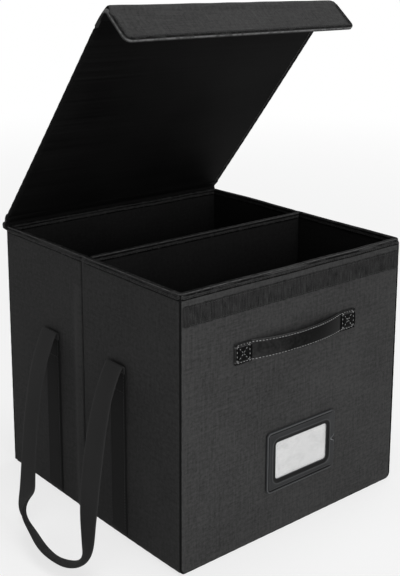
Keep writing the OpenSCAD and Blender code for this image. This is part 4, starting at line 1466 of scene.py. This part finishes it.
# The frame is one skin through rings of points, from its back edge over the bead,
# the groove and the face to the window's lip, and back behind the card's slot
def labelHolder():
    low, high = cadCorners("label_holder")
    centre, halfA, halfB = (low + high) / 2, (high[0] - low[0]) / 2, (high[2] - low[2]) / 2
    width, tall, corner = holder["window"]
    # Each ring: distance in from the outer edge, or out from the window, height
    # on the three beaded sides, height on the open side, tone; the tone paints
    # highlights on the bead's crest and the window's lip and shade in the groove and round the window
    under = holder["slotTop"] / mm
    outerRings = [(0.3, 0.02, under, 0.3), (0.0, 0.4, under + 0.1, 0.3), (0.0, 1.6, 2.2, 0.4),
                  (0.1, 2.9, 2.9, 0.6), (0.45, 3.5, 3.2, 0.9), (1.0, 3.85, 3.3, 1.0), (1.7, 3.7, 3.3, 0.6),
                  (2.1, 3.2, 3.3, 0.1), (2.5, 2.5, 3.3, 0.0), (3.2, 2.5, 3.3, 0.02), (3.6, 2.9, 3.3, 0.3),
                  (4.1, 3.3, 3.3, 0.5), (5.0, 3.35, 3.35, 0.3), (6.2, 3.3, 3.3, 0.28)]
    windowRings = [(5.2, 3.35, 3.35, 0.32), (4.6, 3.7, 3.7, 0.65), (4.1, 3.75, 3.75, 0.6),
                   (3.6, 3.4, 3.4, 0.1), (2.6, 2.9, 2.9, 0.0), (0.6, 2.7, 2.7, 0.0),
                   (-0.6, 2.6, 2.6, 0.0), (-0.9, 2.6, 2.6, 0.9), (-1.25, 2.55, 2.55, 1.0),
                   (-1.45, 2.3, 2.3, 0.5), (-1.4, 2.2, 2.2, 0.0), (-0.1, 2.16, 2.16, 0.0),
                   (0.02, under, under, 0.0), (6.6, under, under, 0.0)]
    lastRings = [(3.0, under, under, 0.0), (2.6, 0.02, under, 0.2)]
    groups = ((outerRings, False), (windowRings, True), (lastRings, False))
    rings = [(atWindow,) + ring for group, atWindow in groups for ring in group]
    rows, tones = [], []
    edge = ringOf(halfA, halfB, holder["corner"])
    share = np.clip((edge[:, 0] - (halfA - 9 * mm)) / (6 * mm), 0, 1)
    openness = share ** 2 * (3 - 2 * share)
    notchHalf, notchDeep = holder["notch"]
    for atWindow, distance, beaded, plain, tone in rings:
        d = distance * mm
        if atWindow:
            ring = ringOf(width / 2 + d, tall / 2 + d, corner + d)
        else:
            ring = ringOf(halfA - d, halfB - d, max(holder["corner"] - d, 0.6 * mm))
        across = np.sqrt(np.clip(1 - (ring[:, 1] / notchHalf) ** 2, 0, 1)) * (ring[:, 0] > halfA - 7 * mm)
        limit = halfA - notchDeep * across - (0.0 if atWindow else 0.9 * d)
        ring[:, 0] = np.where(across > 0, np.minimum(ring[:, 0], limit), ring[:, 0])
        height = (beaded * (1 - openness) + plain * openness) * mm
        rows.append(np.stack([centre[0] + ring[:, 0], high[1] - height, centre[2] + ring[:, 1]], axis=-1))
        plainTone = 0.38 if distance > 0.3 and plain > 3.1 and not atWindow else tone
        if not atWindow and distance < 2:  # a painted highlight round the notch
            plainTone = plainTone + 2.8 * np.exp(-(ring[:, 1] / (1.3 * notchHalf)) ** 4)
        tones.append(tone * (1 - openness) + plainTone * openness)
    points, wear = np.stack(rows, axis=1), np.stack(tones, axis=1)
    uv = np.zeros((points.shape[0] + 1, points.shape[1] + 1, 2))
    made = Surface()
    made.grid(points, uv, True, True, 0, wear)
    shape = slab(2 * halfA, 2 * halfB, holder["plate"], (60, 50), (holder["corner"], holder["corner"]))
    back = placeSlab(shape, (centre[0], high[1] - holder["plate"] / 2, low[2]), xAxis, zAxis, -yAxis)
    made.grid(back, shape["uv"], True, False, 0, 0.2)
    made.piece("labelHolder", [plasticFinish], "case", "holder_plastic", ("label_holder",))


labelHolder()


# Nodes that keep their own meshes get only a finish
def repaint(node, finish):
    node.data.materials.clear()
    node.data.materials.append(finish)


repaint(frame["nodes"]["label_window"], filmFinish)
repaint(frame["nodes"]["label_card"], paperFinish)
for name, node in frame["nodes"].items():
    if name.endswith("_board"):
        repaint(node, boardFinish)
print("label holder made")


# Webbing: a flat band with rounded selvedges carried along a path
def band(target, path, across, out, width, thick, wearEdges=0.8):
    turn = np.linspace(0, math.tau, 28, endpoint=False)
    profile = np.stack([width / 2 * squarer(np.cos(turn), 0.28),
                        thick / 2 * squarer(np.sin(turn), 0.7)], axis=-1)
    run = runLength(path)
    fade = np.sqrt(np.clip(np.minimum(run, run[-1] - run) / (0.8 * mm), 0.0, 1))
    section = profile[None] * np.stack([np.ones(len(path)), fade], axis=-1)[:, None, :]
    uv = clothPlan(run, np.append(profile[:, 0], profile[0, 0]))[..., ::-1]
    wear = wearEdges * np.exp(-(width / 2 - np.abs(profile[:, 0])) / (1.3 * mm))[None, :]
    target.grid(carry(path, across, out, section), uv, False, True, 0, wear)


webbing = {
    "width": cadCorners("left_front_webbing")[1][1] - cadCorners("left_front_webbing")[0][1],
    "thick": cadCorners("left_front_webbing")[1][0] - cadCorners("left_front_webbing")[0][0],
    # Middle line of a slack loop between its rolls: millimetres out from the
    # pivot, millimetres back from the side's fold, share of the pivot's height
    "out": (2.5, 19.3, 34.9, 49.2, 60.9, 68, 79.1, 90.5, 87, 76.3, 58.8, 47.9, 37.4, 21.6, 2.5),
    "back": (-69.5, -73.4, -82, -92.8, -102.9, -108.4, -100.9, -72.7,
             -33.2, 7.6, 32.9, 46.6, 55.2, 63.7, 69.5),
    "fall": (1, 0.844, 0.668, 0.483, 0.295, 0.108, 0.044, 0.053,
             0.077, 0.109, 0.176, 0.316, 0.543, 0.801, 1),
    # Share of a quarter turn about its own length, and degrees by which its turned
    # edge rises
    "twist": (0, -0.01, -0.05, -0.06, 0, 0.2, 0.78, 1, 0.82, 0.38, 0.06, 0, 0, 0, 0),
    "bank": (10, 5, 1, -3, -6, -5, 14, 35, 46, 34, 10, 0, 0, 0, 0),
    "roll": 3.0 * mm,  # outer radius of the roll where a loop turns out of its strip
    "leg": 7.0 * mm,  # height of that roll's part which stays upright
    "even": 16,  # rounds of smoothing
}


def throughPoints(values, u):  # smooth cubic through evenly numbered values
    values = np.asarray(values, float)
    i = np.clip(np.floor(u).astype(int), 0, len(values) - 2)
    f = u - i
    a, b, c, d = (values[np.clip(i + k, 0, len(values) - 1)] for k in (-1, 0, 1, 2))
    return b + f * ((c - a) / 2 + f * (a - 2.5 * b + 2 * c - d / 2 + f * (1.5 * (b - c) + (d - a) / 2)))


# A band along the smooth middle line, which leaves its strip by a hairpin at both
# ends and turns flat where it lies low
def carryLoop(side):
    way = -1 if side == "left" else 1
    swing = jointOf(f"{side}_loop_swing")["pos_m"]
    pivotX, pivotZ = abs(swing[0]), swing[2]
    last = len(webbing["out"]) - 1
    u = np.linspace(0, last, 260)
    out, back, fall, twist = (throughPoints(webbing[key], u) for key in ("out", "back", "fall", "twist"))
    path = np.stack([pivotX + out * mm, foldMiddle + back * mm,
                     np.maximum(pivotZ * fall, webbing["thick"] / 2 + 0.6 * mm)], axis=-1)
    along = waysAlong(path)
    angle = np.radians(90 * twist)
    bank = np.radians(throughPoints(webbing["bank"], u))
    across = np.stack([-np.sin(angle) * np.cos(bank), np.cos(angle), -np.sin(angle) * np.sin(bank)], axis=-1)
    across = squareTo(across, along)
    # Hairpins at both ends, from the top of each sewn strip over to its leg
    turn = np.linspace(math.pi, 0.1, 14)
    roll = webbing["roll"] - webbing["thick"] / 2
    keep = path[:, 2] < pivotZ - webbing["leg"]
    body, pieces = path[keep], []
    for end in (body[0], body[-1]):
        bend = np.stack([pivotX + roll * np.cos(turn), np.full(14, end[1]),
                         pivotZ + roll * np.sin(turn)], axis=-1)
        start = np.array([pivotX - roll, end[1], pivotZ - webbing["leg"]])
        pieces.append(np.vstack([start, bend]))
    whole = np.vstack([pieces[0], body, pieces[1][::-1]])
    sideways = np.vstack([repeated(yAxis, 15), across[keep], repeated(yAxis, 15)])
    run = runLength(whole)
    even = np.linspace(0, run[-1], 300)
    whole, sideways = evenly(even, run, whole), evenly(even, run, sideways)
    # The turned parts are made even; the rolls at both ends keep their shape
    rolled = np.clip((np.minimum(even, even[-1] - even) - 20 * mm) / (30 * mm), 0, 1)[:, None]
    soft = whole.copy()
    for _ in range(webbing["even"]):
        soft[1:-1] = (soft[:-2] + 2 * soft[1:-1] + soft[2:]) / 4
        sideways[1:-1] = (sideways[:-2] + 2 * sideways[1:-1] + sideways[2:]) / 4
    whole = whole + (soft - whole) * rolled
    tangent = waysAlong(whole)
    sideways = squareTo(sideways, tangent)
    # The left loop is this one's mirror image, and the right one has fallen the
    # other way, towards the back
    flip = np.array((-1, 1, 1) if side == "left" else (1, -1, 1))
    whole, tangent, sideways = whole * flip, tangent * flip, sideways * flip
    if side == "right":
        whole[:, 1] += 2 * foldMiddle
    made = Surface()
    band(made, whole, sideways, np.cross(tangent, sideways), webbing["width"], webbing["thick"])
    piece = made.piece(f"{side}CarryLoop", [webbingFinish], None, "webbing", (f"{side}_carry_loop",))
    way * (pivotX - 1.2 * mm)
    way * (pivotX + 1.6 * mm)
    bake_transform(piece)


# Each sewn strip is a band up the side, with stitches round it and across its top
def sewnStrips():
    for side, way in (("left", -1), ("right", 1)):
        for half in ("front", "rear"):
            node = f"{side}_{half}_webbing"
            low, high = cadCorners(node)
            middle = (low + high) / 2
            path = straight((middle[0], middle[1], low[2]), (middle[0], middle[1], high[2]), 90)
            path[:, 0] -= way * bottomTuck(path[:, 2], path[:, 1])
            made = Surface()
            band(made, path, repeated(yAxis, 90), repeated(xAxis, 90), webbing["width"], webbing["thick"])
            made.piece(f"{side}{half.title()}Strip", [backWebbing], "case", "webbing", (node,))
            sewn = Surface()
            face = middle[0] + way * webbing["thick"] / 2
            y = webbing["width"] / 2 - 2.6 * mm
            lowEnd, highEnd, cross = low[2] + 8 * mm, high[2] - 3 * mm, high[2] - 27 * mm
            rows = ((-y, lowEnd, -y, highEnd), (y, lowEnd, y, highEnd),
                    (-y, highEnd, y, highEnd), (-y, cross, y, cross))
            for ya, za, yb, zb in rows:
                line = straight((face, middle[1] + ya, za), (face, middle[1] + yb, zb))
                stitchRow(sewn, line, repeated(way * xAxis, len(line)), 3.8 * mm, radius=0.26 * mm)
            sewn.piece(f"{side}{half.title()}StripStitches", [darkThread], "case", "webbing")
        carryLoop(side)


sewnStrips()
print("webbing made")
